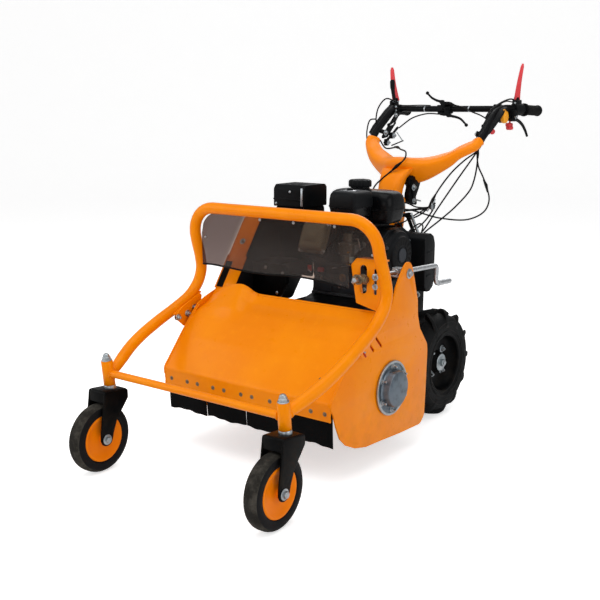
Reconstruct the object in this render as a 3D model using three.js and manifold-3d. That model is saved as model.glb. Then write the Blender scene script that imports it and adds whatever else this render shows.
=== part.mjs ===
// Walk-behind flail mower: a welded deck with a belt-driven flail rotor, a front bumper frame on two
// swivel casters, a horizontal-shaft petrol engine, two driven wheels and a handlebar.
//
// Units are millimetres, +Z is up. -Y is forwards (casters), +Y is towards the operator, +X is the
// operator's left-hand side. The origin is on the ground under the middle of the machine's length
// and width. Stations along Y are measured from a datum plane DATUM_Y behind that origin, close to
// the drive axle.
//
// Outlines list [y, z] for plateX, [x, z] for plateY and [x, y] for plateZ. Profiles of turned parts
// list [radius, position along the axis]. In functions for paired parts, `side` is +1 on the left
// and -1 on the right.

import * as THREE from "three";
import { mergeVertices } from "three/addons/utils/BufferGeometryUtils.js";
import Module from "manifold-3d";

const wasm = await Module();
wasm.setup();

// ---------------------------------------------------------------- driving dimensions
const DATUM_Y = 287.14;
const RUNNING_GAP = 0.4; // between the deck sheet and the side plates
const SEAT_GAP = 0.6; // between separate parts that meet face to face

const PLATE_OUTER = 323; // outer face of each deck side plate
const PLATE_INNER = PLATE_OUTER - 5;
const SHEET = 4; // folded deck sheet thickness
const SHEET_HALF = PLATE_INNER - RUNNING_GAP; // half length of the sheet between the side plates
const BELT_BAY = -236; // the belt bay lies between this plane and the right side plate

const ROTOR = { y: -498, z: 236, tubeRadius: 44 };
const CRANKSHAFT = { y: -215, z: 590 };
const BELT_X = -278;
const ROTOR_PULLEY_R = 66;
const ENGINE_PULLEY_R = 55;
const FRAME_PIVOT = { y: -668, z: 388 };

const CASTER = { x: 331, y: -1073, z: 103, radius: 103, width: 46 };
const CASTER_RAKE = THREE.MathUtils.degToRad(5.7); // kingpin leans forwards at the top
const SLEEVE = { y: -1028.4, z0: 255, z1: 330, crossbarZ: 291, rakeOriginZ: 292 };

const WHEEL = { x: 190, y: 4, z: 187, radius: 187, width: 110 };

// The height adjuster rod runs in the plane x from (y0, z0) to (y1, z1).
const ROD = { x: 286, y0: -690, z0: 583, y1: -166, z1: 561, radius: 8 };
const TRUNNION_Y = -404;
const NUT_Y = -614;

const ENGINE_PLATE_TOP = 448;
const ENGINE_FOOT_Z = ENGINE_PLATE_TOP + SEAT_GAP;

const HANDLE_PIVOT = { y: 6, z: 728 };
const BAR_R = 14;
const GRIP_R = 19;

const FACET_PAIRS = 0.26; // facet pairs made for each nominal facet of a round body

// ---------------------------------------------------------------- solid helpers
const vec = (x, y, z) => new THREE.Vector3(x, y, z);
const times = (count, make) => Array.from({ length: count }, (_, i) => make(i));
const bothSides = (make) => [make(1), make(-1)];
// Span along X from near to far on the left, or its mirror image on the right.
const spanX = (side, near, far) => (side > 0 ? [near, far] : [-far, -near]);
// Round bodies are faceted; a hexagon stays a hexagon.
const facets = (nominal) =>
  nominal <= 6 ? nominal : Math.max(8, 2 * Math.round(nominal * FACET_PAIRS));

// A closed three.js geometry as a solid with shared vertices and outward faces.
function solid(geometry, matrix) {
  geometry.deleteAttribute("normal");
  geometry.deleteAttribute("uv");
  if (matrix) geometry.applyMatrix4(matrix);
  const merged = mergeVertices(geometry, 1e-3);
  const index = merged.index.array;
  const triangles = [];
  for (let i = 0; i < index.length; i += 3) {
    const [a, b, c] = [index[i], index[i + 1], index[i + 2]];
    if (a !== b && b !== c && a !== c) triangles.push(a, b, c);
  }
  const build = () =>
    new wasm.Manifold(
      new wasm.Mesh({
        numProp: 3,
        vertProperties: merged.attributes.position.array,
        triVerts: new Uint32Array(triangles),
      }),
    );
  const made = build();
  if (made.volume() > 0) return made;
  for (let i = 0; i < triangles.length; i += 3)
    [triangles[i + 1], triangles[i + 2]] = [triangles[i + 2], triangles[i + 1]];
  return build();
}

// A closed solid from flat vertex coordinates and triangle indices.
function polyhedron(coordinates, triangles) {
  const geometry = new THREE.BufferGeometry();
  geometry.setAttribute(
    "position",
    new THREE.BufferAttribute(new Float32Array(coordinates), 3),
  );
  geometry.setIndex(triangles);
  return solid(geometry);
}

const join = (...solids) => solids.reduce((whole, next) => whole.add(next));
const cut = (body, ...tools) => tools.reduce((rest, tool) => rest.subtract(tool), body);

// Axis-aligned block between two corners.
function block(x0, x1, y0, y1, z0, z1) {
  return solid(
    new THREE.BoxGeometry(x1 - x0, y1 - y0, z1 - z0),
    new THREE.Matrix4().makeTranslation((x0 + x1) / 2, (y0 + y1) / 2, (z0 + z1) / 2),
  );
}

// Round bar, cone or disc between two points.
function bar(start, end, radius, sides, endRadius = radius) {
  const along = end.clone().sub(start);
  const turn = new THREE.Quaternion().setFromUnitVectors(
    vec(0, 1, 0),
    along.clone().normalize(),
  );
  const middle = start.clone().add(end).multiplyScalar(0.5);
  return solid(
    new THREE.CylinderGeometry(endRadius, radius, along.length(), facets(sides)),
    new THREE.Matrix4().compose(middle, turn, vec(1, 1, 1)),
  );
}
const barX = (x0, x1, y, z, radius, sides) => bar(vec(x0, y, z), vec(x1, y, z), radius, sides);
const barY = (y0, y1, x, z, radius, sides) => bar(vec(x, y0, z), vec(x, y1, z), radius, sides);
const barZ = (z0, z1, x, y, radius, sides) => bar(vec(x, y, z0), vec(x, y, z1), radius, sides);

const toVector2 = ([x, y]) => new THREE.Vector2(x, y);
const toShape = (outline) => new THREE.Shape(outline.map(toVector2));
const placement = (axes, origin) =>
  new THREE.Matrix4().makeBasis(...axes).setPosition(origin);

// Outline extruded along the third of the given axes.
function extrude(outline, depth, axes, origin) {
  const geometry = new THREE.ExtrudeGeometry(toShape(outline), {
    depth,
    bevelEnabled: false,
    steps: 1,
  });
  return solid(geometry, placement(axes, origin));
}
const plateX = (outline, x0, x1) =>
  extrude(outline, x1 - x0, [vec(0, 1, 0), vec(0, 0, 1), vec(1, 0, 0)], vec(x0, 0, 0));
const plateY = (outline, y0, y1) =>
  extrude(outline, y1 - y0, [vec(1, 0, 0), vec(0, 0, 1), vec(0, -1, 0)], vec(0, y1, 0));
const plateZ = (outline, z0, z1) =>
  extrude(outline, z1 - z0, [vec(1, 0, 0), vec(0, 1, 0), vec(0, 0, 1)], vec(0, 0, z0));

// Profile turned about the second of the given axes.
const turned = (profile, sides, axes, origin) =>
  solid(
    new THREE.LatheGeometry(profile.map(toVector2), facets(sides)),
    placement(axes, origin),
  );
const turnedX = (profile, x, y, z, sides) =>
  turned(profile, sides, [vec(0, 1, 0), vec(1, 0, 0), vec(0, 0, -1)], vec(x, y, z));
const turnedZ = (profile, x, y, sides) =>
  turned(profile, sides, [vec(1, 0, 0), vec(0, 0, 1), vec(0, -1, 0)], vec(x, y, 0));
const mirrorProfile = (profile, side) => profile.map(([radius, x]) => [radius, side * x]);

// A bent centreline that visits its own points in order, with mitred tangents.
class Polyline extends THREE.Curve {
  constructor(points) {
    super();
    this.points = points;
  }
  getSpacedPoints() {
    return this.points.map((p) => p.clone());
  }
  getTangentAt(fraction) {
    const last = this.points.length - 1;
    const i = Math.round(fraction * last);
    const here = this.points[i];
    const before = here.clone().sub(this.points[Math.max(i - 1, 0)]);
    const after = this.points[Math.min(i + 1, last)].clone().sub(here);
    return before.normalize().add(after.normalize()).normalize();
  }
}

// Bent tube or bar of the given closed section along points.
function sweep(points, section) {
  return solid(
    new THREE.ExtrudeGeometry(toShape(section), {
      extrudePath: new Polyline(points),
      steps: points.length - 1,
      bevelEnabled: false,
    }),
  );
}
// Elliptical section with exactly the given number of sides.
const ring = (radiusA, sides, radiusB = radiusA) =>
  times(sides, (i) => {
    const angle = (2 * Math.PI * (i + 0.5)) / sides;
    return [radiusA * Math.cos(angle), radiusB * Math.sin(angle)];
  });
const tube = (points, radius, sides) => sweep(points, ring(radius, facets(sides)));

// Straight runs joined by arcs of the given radius, in the given number of steps.
function fillet(points, radius, steps) {
  const rounded = [points[0].clone()];
  for (let i = 1; i < points.length - 1; i++) {
    const corner = points[i];
    const back = points[i - 1].clone().sub(corner).normalize();
    const ahead = points[i + 1].clone().sub(corner).normalize();
    const angle = back.angleTo(ahead);
    const setback = radius / Math.tan(angle / 2);
    const centre = back
      .clone()
      .add(ahead)
      .normalize()
      .multiplyScalar(radius / Math.sin(angle / 2))
      .add(corner);
    const from = corner.clone().addScaledVector(back, setback).sub(centre);
    const to = corner.clone().addScaledVector(ahead, setback).sub(centre);
    const sweepAngle = from.angleTo(to);
    for (let j = 0; j <= steps; j++) {
      const t = j / steps;
      rounded.push(
        centre
          .clone()
          .addScaledVector(from, Math.sin((1 - t) * sweepAngle) / Math.sin(sweepAngle))
          .addScaledVector(to, Math.sin(t * sweepAngle) / Math.sin(sweepAngle)),
      );
    }
  }
  rounded.push(points[points.length - 1].clone());
  return rounded;
}

// Closed outline of a sheet of the given thickness, to the right of an open outline.
function sheetOutline(outline, thickness) {
  const normals = outline
    .slice(1)
    .map(([x, y], i) => new THREE.Vector2(y - outline[i][1], outline[i][0] - x).normalize());
  const inner = outline.map(([x, y], i) => {
    const before = normals[i - 1] ?? normals[i];
    const after = normals[i] ?? before;
    const mitre = before.clone().add(after).normalize();
    const reach = thickness / Math.max(mitre.dot(before), 0.4); // limits sharp mitres
    return [x + mitre.x * reach, y + mitre.y * reach];
  });
  return [...outline, ...inner.reverse()];
}

// Skin over rounded sections, each with a centre and two half axes as vectors.
function loft(sections) {
  const sides = 12;
  const roundness = 3; // exponent of the superellipse
  const coordinates = [];
  for (const { centre, halfA, halfB } of sections)
    for (let i = 0; i < sides; i++) {
      const angle = (2 * Math.PI * i) / sides;
      const c = Math.cos(angle);
      const s = Math.sin(angle);
      const norm = Math.abs(c) ** roundness + Math.abs(s) ** roundness;
      const stretch = 1 / norm ** (1 / roundness);
      const rim = centre
        .clone()
        .addScaledVector(halfA, c * stretch)
        .addScaledVector(halfB, s * stretch);
      coordinates.push(rim.x, rim.y, rim.z);
    }
  const triangles = [];
  for (let j = 0; j < sections.length - 1; j++)
    for (let i = 0; i < sides; i++) {
      const a = j * sides + i;
      const b = j * sides + ((i + 1) % sides);
      triangles.push(a, b, a + sides, b, b + sides, a + sides);
    }
  const lastRing = (sections.length - 1) * sides;
  for (let i = 1; i < sides - 1; i++) {
    triangles.push(0, i + 1, i);
    triangles.push(lastRing, lastRing + i, lastRing + i + 1);
  }
  return polyhedron(coordinates, triangles);
}

// Loft over rows of [x, y, z, half width in X, half depth in Y, rise of the depth axis in Z].
const uprightLoft = (rows) =>
  loft(
    rows.map(([x, y, z, halfWidth, halfDepth, rise = 0]) => ({
      centre: vec(x, y, z),
      halfA: vec(halfWidth, 0, 0),
      halfB: vec(0, halfDepth, rise),
    })),
  );

// ---------------------------------------------------------------- scene tree
const FINISHES = {
  orange: { color: 0xf58a07, roughness: 0.35, metalness: 0 },
  black: { color: 0x17181a, roughness: 0.5, metalness: 0 },
  satin: { color: 0x24262a, roughness: 0.55, metalness: 0.2 },
  zinc: { color: 0xb9bdc0, roughness: 0.35, metalness: 0.85 },
  steel: { color: 0x9a9da0, roughness: 0.4, metalness: 0.9 },
  cast: { color: 0x7d8078, roughness: 0.6, metalness: 0.6 },
  rubber: { color: 0x1c1c1d, roughness: 0.9, metalness: 0 },
  tread: { color: 0x3a3835, roughness: 0.95, metalness: 0 },
  red: { color: 0xd23b3b, roughness: 0.45, metalness: 0 },
  yellow: { color: 0xf6a61c, roughness: 0.4, metalness: 0 },
  smoke: { color: 0x4a4443, roughness: 0.15, metalness: 0 },
};

const mower = new THREE.Group();
const machine = new THREE.Group();
machine.position.y = DATUM_Y;
mower.add(machine);

function group(name, parent = machine, x = 0, y = 0, z = 0) {
  const made = new THREE.Group();
  made.name = name;
  made.position.set(x, y, z);
  parent.add(made);
  return made;
}

function part(parent, name, body, finish) {
  const { vertProperties, triVerts } = body.getMesh();
  const geometry = new THREE.BufferGeometry();
  geometry.setAttribute(
    "position",
    new THREE.BufferAttribute(new Float32Array(vertProperties), 3),
  );
  geometry.setIndex(new THREE.BufferAttribute(new Uint32Array(triVerts), 1));
  geometry.computeVertexNormals();
  const mesh = new THREE.Mesh(geometry, new THREE.MeshStandardMaterial(FINISHES[finish]));
  mesh.name = name;
  parent.add(mesh);
}

const chassis = group("chassis_group");
const SIDES = [
  [1, "left"],
  [-1, "right"],
];

// Point on the adjuster rod's axis at a station y.
function rodAt(y) {
  const t = (y - ROD.y0) / (ROD.y1 - ROD.y0);
  return vec(ROD.x, y, ROD.z0 + (ROD.z1 - ROD.z0) * t);
}
const rodAround = (y, reach, radius, sides) =>
  bar(rodAt(y - reach), rodAt(y + reach), radius, sides);
const TRUNNION_Z = rodAt(TRUNNION_Y).z;

// ---------------------------------------------------------------- deck side plates
const PIN_HOLE_R = 8.9;
const plateLowerEdge = [
  [-799, 231], [-784, 189], [-764, 148], [-734, 121], [-687, 99], [-629, 86], [-552, 82],
  [-436, 74], [-312, 70], [-287, 92], [-282, 175], [-277, 306], [-281, 330], [-328, 388],
  [-343, 432],
];
const plateFrontEdge = [
  [-500, 481], [-561, 474], [-611, 458], [-649, 441], [-683, 407], [-731, 354], [-774, 303],
  [-809, 263], [-808, 240],
];
// Upstanding ear that holds the adjuster trunnion.
const leftEar = [
  [-346, 480], [-367, 545], [-385, 592], [-395, 603], [-408, 608], [-422, 606], [-435, 596],
  [-457, 571], [-478, 540],
];
const rightTop = [[-346, 470], [-372, 478]];

function sidePlate(side, topEdge) {
  const through = spanX(side, PLATE_INNER - 1, PLATE_OUTER + 1);
  return cut(
    plateX(
      [...plateLowerEdge, ...topEdge, ...plateFrontEdge],
      ...spanX(side, PLATE_INNER, PLATE_OUTER),
    ),
    barX(...through, ROTOR.y, ROTOR.z, 34, 24),
    barX(...through, FRAME_PIVOT.y, FRAME_PIVOT.z, PIN_HOLE_R, 16),
  );
}
part(
  chassis,
  "side_plate_left",
  cut(
    sidePlate(1, leftEar),
    barX(PLATE_INNER - 1, PLATE_OUTER + 1, TRUNNION_Y, TRUNNION_Z, PIN_HOLE_R, 16),
  ),
  "orange",
);
part(chassis, "side_plate_right", sidePlate(-1, rightTop), "orange");

// ---------------------------------------------------------------- folded deck cover
const frontSkin = [
  [-806, 208], [-808, 260], [-774, 298], [-731, 349], [-683, 402], [-649, 436], [-611, 456],
  [-580, 486],
];
const hood = [
  [-588, 479], [-586, 404], [-560, 400], [-400, 400], [-352, 384], [-306, 326], [-300, 300],
  [-300, 112],
];
const bulkhead = [
  [-800, 262], [-766, 300], [-640, 433], [-600, 448], [-584, 466], [-584, 400], [-402, 397],
  [-354, 381], [-309, 325], [-302, 300], [-302, 250], [-560, 250], [-560, 300], [-640, 300],
];
const bulge = [
  [-SHEET_HALF, 440], [-SHEET_HALF, 452], [-289, 476], [-260, 493], [-235, 505], [-205, 508],
  [-182, 504], [-164, 492], [-150, 480], [-150, 452],
];
part(
  chassis,
  "deck_cover",
  cut(
    join(
      plateX(sheetOutline(frontSkin, SHEET), -SHEET_HALF, SHEET_HALF),
      plateX(sheetOutline(hood, SHEET), BELT_BAY, SHEET_HALF),
      // between the rotor chamber and the belt bay
      plateX(bulkhead, BELT_BAY - 4, BELT_BAY + 0.1),
      // over the mouth of the belt bay
      plateY(bulge, -610, -584),
    ),
    barX(BELT_BAY - 6, BELT_BAY + 2, ROTOR.y, ROTOR.z, 46, 24),
  ),
  "orange",
);

// ---------------------------------------------------------------- rotor bearings
const BEARING_BOLTS = { count: 6, circle: 68, radius: 6, x0: PLATE_OUTER + 6, x1: PLATE_OUTER + 17 };
const bearingProfile = [
  [21, 1], [21, 31], [30, 31], [42, 24], [52, 12], [84, 8], [84, 1], [21, 1],
];

function bearing(side) {
  const { count, circle, radius, x0, x1 } = BEARING_BOLTS;
  const profile = mirrorProfile(bearingProfile, side);
  return join(
    turnedX(profile, side * (PLATE_OUTER - 0.5), ROTOR.y, ROTOR.z, 32),
    ...times(count, (i) => {
      const angle = ((i + 0.5) * 2 * Math.PI) / count;
      const y = ROTOR.y + circle * Math.cos(angle);
      const z = ROTOR.z + circle * Math.sin(angle);
      return barX(side * x0, side * x1, y, z, radius, 6);
    }),
  );
}
for (const [side, name] of SIDES)
  part(chassis, "rotor_bearing_" + name, bearing(side), "zinc");

// ---------------------------------------------------------------- flail rotor
const rotor = group("rotor_group", machine, 0, ROTOR.y, ROTOR.z);
const PIN_CIRCLE = 74; // radius of the flail pins from the rotor axis
const FLAIL_HALF = 9; // half thickness of a flail
const FLAILS = [-170, -50, 70, 190].map((x, i) => ({ x, angle: (i * Math.PI) / 2 + 0.35 }));
// [outwards, sideways] from the rotor axis for a lug cheek, from the pin for a flail.
const lugCheek = [[36, -22], [36, 22], [80, 13], [88, 5], [88, -5], [80, -13]];
const flailShank = [[-12, -11], [-12, 11], [46, 13], [46, -13]];
const flailBlade = [[38, -13], [38, 13], [66, 22], [70, 8], [70, -8], [66, -22]];

// Turns [outwards, sideways] points into [y, z] at an angle about the rotor axis.
const rotated = (outline, angle) =>
  outline.map(([outwards, sideways]) => [
    outwards * Math.cos(angle) - sideways * Math.sin(angle),
    outwards * Math.sin(angle) + sideways * Math.cos(angle),
  ]);
const pinAt = (angle) => rotated([[PIN_CIRCLE, 0]], angle)[0];

// Two cheeks and the pin between them.
function rotorLug({ x, angle }) {
  const outline = rotated(lugCheek, angle);
  return [
    ...[-13, 13].map((offset) => plateX(outline, x + offset - 3, x + offset + 3)),
    barX(x - 18, x + 18, ...pinAt(angle), 6, 12),
  ];
}
part(
  rotor,
  "flail_rotor",
  join(
    barX(-226, 306, 0, 0, ROTOR.tubeRadius, 24),
    barX(-352, 350, 0, 0, 20, 20), // shaft
    ...FLAILS.flatMap(rotorLug),
  ),
  "black",
);

const flail = (angle) =>
  cut(
    join(
      plateX(rotated(flailShank, angle), -FLAIL_HALF, FLAIL_HALF),
      plateX(rotated(flailBlade, angle), -FLAIL_HALF, FLAIL_HALF),
    ),
    barX(-12, 12, 0, 0, 6.9, 12),
  );
FLAILS.forEach(({ x, angle }, i) => {
  const hanger = group("flail_group_" + (i + 1), rotor, x, ...pinAt(angle));
  part(hanger, "flail_" + (i + 1), flail(angle), "steel");
});

// ---------------------------------------------------------------- belt drive
const GROOVE_DEPTH = 12;
function sheave(radius, bore) {
  const root = radius - GROOVE_DEPTH;
  return [
    [bore, -13], [radius, -13], [radius, -10], [root, -6], [root, 6], [radius, 10],
    [radius, 13], [bore, 13], [bore, -13],
  ];
}
part(
  rotor,
  "rotor_pulley",
  turnedX(sheave(ROTOR_PULLEY_R, 21), BELT_X, 0, 0, 28),
  "cast",
);
part(
  group("engine_shaft_group", machine, 0, CRANKSHAFT.y, CRANKSHAFT.z),
  "engine_pulley",
  join(
    turnedX(sheave(ENGINE_PULLEY_R, 8), BELT_X, 0, 0, 28),
    barX(-292, -136, 0, 0, 12, 16),
  ),
  "cast",
);

// Outline around both pulleys, set in from their rims.
function beltLoop(inset) {
  const steps = 12;
  const rotorR = ROTOR_PULLEY_R - inset;
  const engineR = ENGINE_PULLEY_R - inset;
  const dy = CRANKSHAFT.y - ROTOR.y;
  const dz = CRANKSHAFT.z - ROTOR.z;
  const heading = Math.atan2(dz, dy);
  const contact = Math.acos((rotorR - engineR) / Math.hypot(dy, dz));
  const arc = (centre, radius, start, sweepAngle) =>
    times(steps + 1, (i) => {
      const angle = start + (sweepAngle * i) / steps;
      return [centre.y + radius * Math.cos(angle), centre.z + radius * Math.sin(angle)];
    });
  return [
    ...arc(ROTOR, rotorR, heading + contact, 2 * Math.PI - 2 * contact),
    ...arc(CRANKSHAFT, engineR, heading - contact, 2 * contact),
  ];
}
part(
  chassis,
  "drive_belt",
  cut(
    plateX(beltLoop(1), BELT_X - 5.5, BELT_X + 5.5),
    plateX(beltLoop(10.4), BELT_X - 9, BELT_X + 9),
  ),
  "rubber",
);

const GUARD = { x0: -312, x1: -240, skin: 4 };
const guardOuter = [
  [-580, 462], [-560, 500], [-424, 694], [-400, 712], [-196, 694], [-140, 650], [-126, 590],
  [-150, 530], [-232, 430], [-250, 405], [-300, 405], [-566, 452],
];
// The shell is open along its foot, where the belt enters.
const guardInner = [
  [-574, 440], [-556, 498], [-421, 690], [-399, 707], [-198, 689], [-145, 648], [-131, 590],
  [-155, 533], [-238, 428], [-256, 380], [-300, 380], [-560, 400],
];
part(
  chassis,
  "belt_guard",
  join(
    cut(
      join(
        plateX(guardOuter, GUARD.x0, GUARD.x1),
        block(-305, -242, -583.6, -560, 490, 512),
      ),
      plateX(guardInner, GUARD.x0 + GUARD.skin, GUARD.x1 + 1),
    ),
    // inner closing plate with a shaft opening
    cut(
      plateX(guardOuter, GUARD.x1 - 0.2, GUARD.x1 + 3),
      barX(GUARD.x1 - 2, GUARD.x1 + 5, CRANKSHAFT.y, CRANKSHAFT.z, 22, 20),
    ),
  ),
  "orange",
);

// ---------------------------------------------------------------- engine plate and rear frame
const STRINGER = { inner: 100, outer: 105, top: 441 };
const enginePlate = [
  [-60, -470], [176, -470], [176, -96], [106, -60], [106, 78], [-106, 78], [-106, -60],
  [-135, -240], [-75, -400],
];
const stringer = [
  [-470, 402], [-470, STRINGER.top], [78, STRINGER.top], [78, 300], [40, 262], [-40, 262],
  [-110, 330], [-250, 388], [-330, 402],
];
part(
  chassis,
  "rear_frame",
  cut(
    join(
      plateZ(enginePlate, 440, ENGINE_PLATE_TOP),
      ...bothSides((side) => plateX(stringer, ...spanX(side, STRINGER.inner, STRINGER.outer))),
      // rear cross plate
      block(-STRINGER.outer, STRINGER.outer, 73, 78, 300, STRINGER.top),
    ),
    block(-60, 60, -380, -330, 430, 460),
  ),
  "black",
);

const gearboxOutline = [
  [-62, 130], [-30, 104], [40, 104], [70, 130], [72, 290], [60, 420], [-52, 420], [-66, 290],
];
part(
  chassis,
  "gearbox",
  cut(
    join(
      plateX(gearboxOutline, -62, 62),
      barX(-98, 98, WHEEL.y, WHEEL.z, 44, 24),
      barX(-118, 118, WHEEL.y, WHEEL.z, 30, 20),
    ),
    // sockets for the wheel shafts
    barX(-130, -94, WHEEL.y, WHEEL.z, 15.6, 16),
    barX(94, 130, WHEEL.y, WHEEL.z, 15.6, 16),
  ),
  "satin",
);

// ---------------------------------------------------------------- engine
const CRANKCASE = { x0: -104, x1: 128, top: 676 };
const STARTER_X = CRANKCASE.x1 + SEAT_GAP;
const crankcaseOutline = [
  [-318, ENGINE_FOOT_Z], [-318, 470], [-306, 520], [-318, 640], [-300, CRANKCASE.top],
  [-150, CRANKCASE.top], [-118, 640], [-118, 500], [-104, 470], [-104, ENGINE_FOOT_Z],
];
const barrelSection = [[-52, -58], [52, -58], [52, 58], [-52, 58]];
part(
  chassis,
  "engine_block",
  cut(
    join(
      plateX(crankcaseOutline, CRANKCASE.x0, CRANKCASE.x1),
      barX(-132, -100, CRANKSHAFT.y, CRANKSHAFT.z, 52, 24),
      // barrel that rises forwards
      sweep([vec(-30, -290, 600), vec(-30, -398, 648)], barrelSection),
    ),
    barX(-140, -90, CRANKSHAFT.y, CRANKSHAFT.z, 13.6, 16),
  ),
  "satin",
);

const valveCoverSection = [
  [-44, -50], [44, -50], [50, -40], [50, 40], [44, 50], [-44, 50], [-50, 40], [-50, -40],
];
part(
  chassis,
  "valve_cover",
  sweep([vec(-30, -399.4, 648.6), vec(-30, -428, 661.3)], valveCoverSection),
  "cast",
);

const MUFFLER_PIPE = { x: -150, y: -330 };
const mufflerOutline = [
  [-400, 742], [-400, 800], [-388, 815], [-282, 815], [-272, 805], [-272, 742],
];
part(
  chassis,
  "muffler_box",
  join(
    plateX(mufflerOutline, -202, -76),
    barZ(690, 745, MUFFLER_PIPE.x, MUFFLER_PIPE.y, 18, 16),
    bar(
      vec(MUFFLER_PIPE.x, MUFFLER_PIPE.y, 692),
      vec(-104.8, MUFFLER_PIPE.y, 664),
      14,
      12,
    ),
  ),
  "black",
);

const airCleanerOutline = [
  [-422, 730], [-422, 790], [-408, 805], [-316, 805], [-303, 794], [-303, 723], [-410, 723],
];
part(
  chassis,
  "air_cleaner",
  join(
    plateX(airCleanerOutline, 32, 132),
    barZ(804, 812, 82, -370, 16, 16), // boss on top
    barZ(CRANKCASE.top + SEAT_GAP, 724, 70, -355, 20, 16), // stem underneath
  ),
  "black",
);

const FILLER = { x: 33, y: -238, rimTop: 806 };
const tankOutline = [
  [-298, 704], [-298, 788], [-284, 801], [-190, 801], [-175, 788], [-175, 706], [-188, 696],
  [-286, 694],
];
const fillerNeck = [[0, 796], [30, 796], [30, FILLER.rimTop], [0, FILLER.rimTop]];
part(
  chassis,
  "fuel_tank",
  cut(
    join(
      plateX(tankOutline, -66, 182),
      // feet above the crankcase
      block(-50, -20, -290, -190, 677, 696),
      block(90, 120, -290, -190, 677, 696),
      turnedZ(fillerNeck, FILLER.x, FILLER.y, 20),
    ),
    barZ(780, 810, FILLER.x, FILLER.y, 22, 20),
  ),
  "black",
);

const CAP_FOOT = FILLER.rimTop + SEAT_GAP;
const capProfile = [[0, CAP_FOOT], [36, CAP_FOOT], [38, 812], [38, 826], [33, 832], [0, 832]];
const GRIP_FLUTES = { count: 8, circle: 40, radius: 5 };
function fuelCap() {
  const { count, circle, radius } = GRIP_FLUTES;
  return cut(
    join(turnedZ(capProfile, 0, 0, 24), barZ(788, 808, 0, 0, 20, 16)),
    ...times(count, (i) => {
      const angle = (i * 2 * Math.PI) / count;
      return barZ(810, 840, circle * Math.cos(angle), circle * Math.sin(angle), radius, 8);
    }),
  );
}
part(
  group("fuel_cap_group", machine, FILLER.x, FILLER.y, 0),
  "fuel_cap",
  fuelCap(),
  "satin",
);

const STARTER_ROPE_X = 172;
const starterProfile = [
  [0, STARTER_X], [86, STARTER_X], [86, 158], [80, 176], [62, 186], [0, 186],
];
const starterBackplate = [
  [-304, 520], [-304, 650], [-262, 676], [-168, 676], [-120, 650], [-120, 520],
];
part(
  chassis,
  "recoil_starter",
  cut(
    join(
      turnedX(starterProfile, 0, CRANKSHAFT.y, CRANKSHAFT.z, 28),
      plateX(starterBackplate, STARTER_X, 160),
    ),
    // rope opening
    bar(vec(STARTER_ROPE_X, -292, 622), vec(STARTER_ROPE_X, -330, 638), 6, 12),
  ),
  "satin",
);
part(
  group("recoil_handle_group", machine, STARTER_ROPE_X, -322, 634.7),
  "recoil_handle",
  join(
    sweep([vec(-18, 0, 0), vec(18, 0, 0)], ring(8.5, 12)),
    bar(vec(0, 2, -0.8), vec(0, 14, -5.9), 6, 12),
  ),
  "black",
);

part(
  chassis,
  "carburettor",
  join(
    block(36, 92, -372, -326, 596, 640),
    barZ(570, 598, 64, -350, 22, 16), // lower bowl
    barZ(638, 668, 64, -352, 15, 12), // upper stem
    barY(-330, -319, 64, 618, 16, 12), // stub towards the crankcase
  ),
  "zinc",
);

const rearGuardOutline = [
  [-96, 470], [-82, 449], [-60, 449], [-38, 462], [-30, 490], [-30, 610], [-40, 636],
  [-62, 648], [-84, 646], [-99, 630],
];
part(chassis, "rear_guard", plateX(rearGuardOutline, 96, 204), "satin");

// ---------------------------------------------------------------- front bumper frame
const front = group("front_frame_group");
const HOOP = { tubeRadius: 18, top: 751, corner: 88, cornerX: 351, cornerY: -620, lean: 11 };
// [x, y, z] up the left side of the hoop, from the caster sleeve to the upright's top.
const hoopSide = [
  [331, -1026, 290], [329, -1003, 297], [346, -958, 320], [360, -913, 343], [368, -856, 370],
  [367, -783, 400], [363, -705, 431], [359, -633, 468], [359.5, -597, 505], [358, -585, 539],
  [355.5, -596, 589], [353, -613, 640],
];

// Half of the hoop on one side, ending in its rounded top corner.
function hoopHalf(side) {
  const cornerArc = times(5, (i) => {
    const angle = (i * Math.PI) / 8;
    return [
      HOOP.cornerX - HOOP.corner * (1 - Math.cos(angle)),
      HOOP.cornerY - HOOP.lean * Math.sin(angle),
      HOOP.top - HOOP.corner + HOOP.corner * Math.sin(angle),
    ];
  });
  return [...hoopSide, ...cornerArc].map(([x, y, z]) => vec(side * x, y, z));
}

// Point at height z on a kingpin's raked axis, in the plane x.
const rakeDirection = vec(0, -Math.sin(CASTER_RAKE), Math.cos(CASTER_RAKE));
const kingpinAt = (x, z) =>
  vec(x, SLEEVE.y, SLEEVE.rakeOriginZ).addScaledVector(
    rakeDirection,
    (z - SLEEVE.rakeOriginZ) / Math.cos(CASTER_RAKE),
  );
const kingpinBar = (x, z0, z1, radius, sides, endRadius) =>
  bar(kingpinAt(x, z0), kingpinAt(x, z1), radius, sides, endRadius);

const pivotCheek = [
  [-704, 428], [-694, 384], [-682, 372], [-654, 372], [-642, 388], [-634, 462], [-650, 452],
  [-690, 430],
];
const pivotGusset = [
  [-702, 424], [-700, 408], [-660, 424], [-640, 440], [-640, 452], [-650, 448],
];
// Cheek hung under the hoop, its gusset up to the tube, and its pin through the side plate.
const framePivot = (side) => [
  plateX(pivotCheek, ...spanX(side, 334, 340)),
  plateX(pivotGusset, ...spanX(side, 336, 356)),
  barX(...spanX(side, 312, 348), FRAME_PIVOT.y, FRAME_PIVOT.z, 8, 16),
];

const BRACKET = { y: -600, plate: 5, flange: 34 };
const bracketFace = [[243, 617], [262, 638], [350, 638], [352, 498], [330, 490], [262, 506]];
const bracketChamfer = [[243, 617], [262, 638], [266, 634], [247, 613]];
const bracketSide = [[243, 617], [262, 506], [267, 507], [248, 617]];
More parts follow.
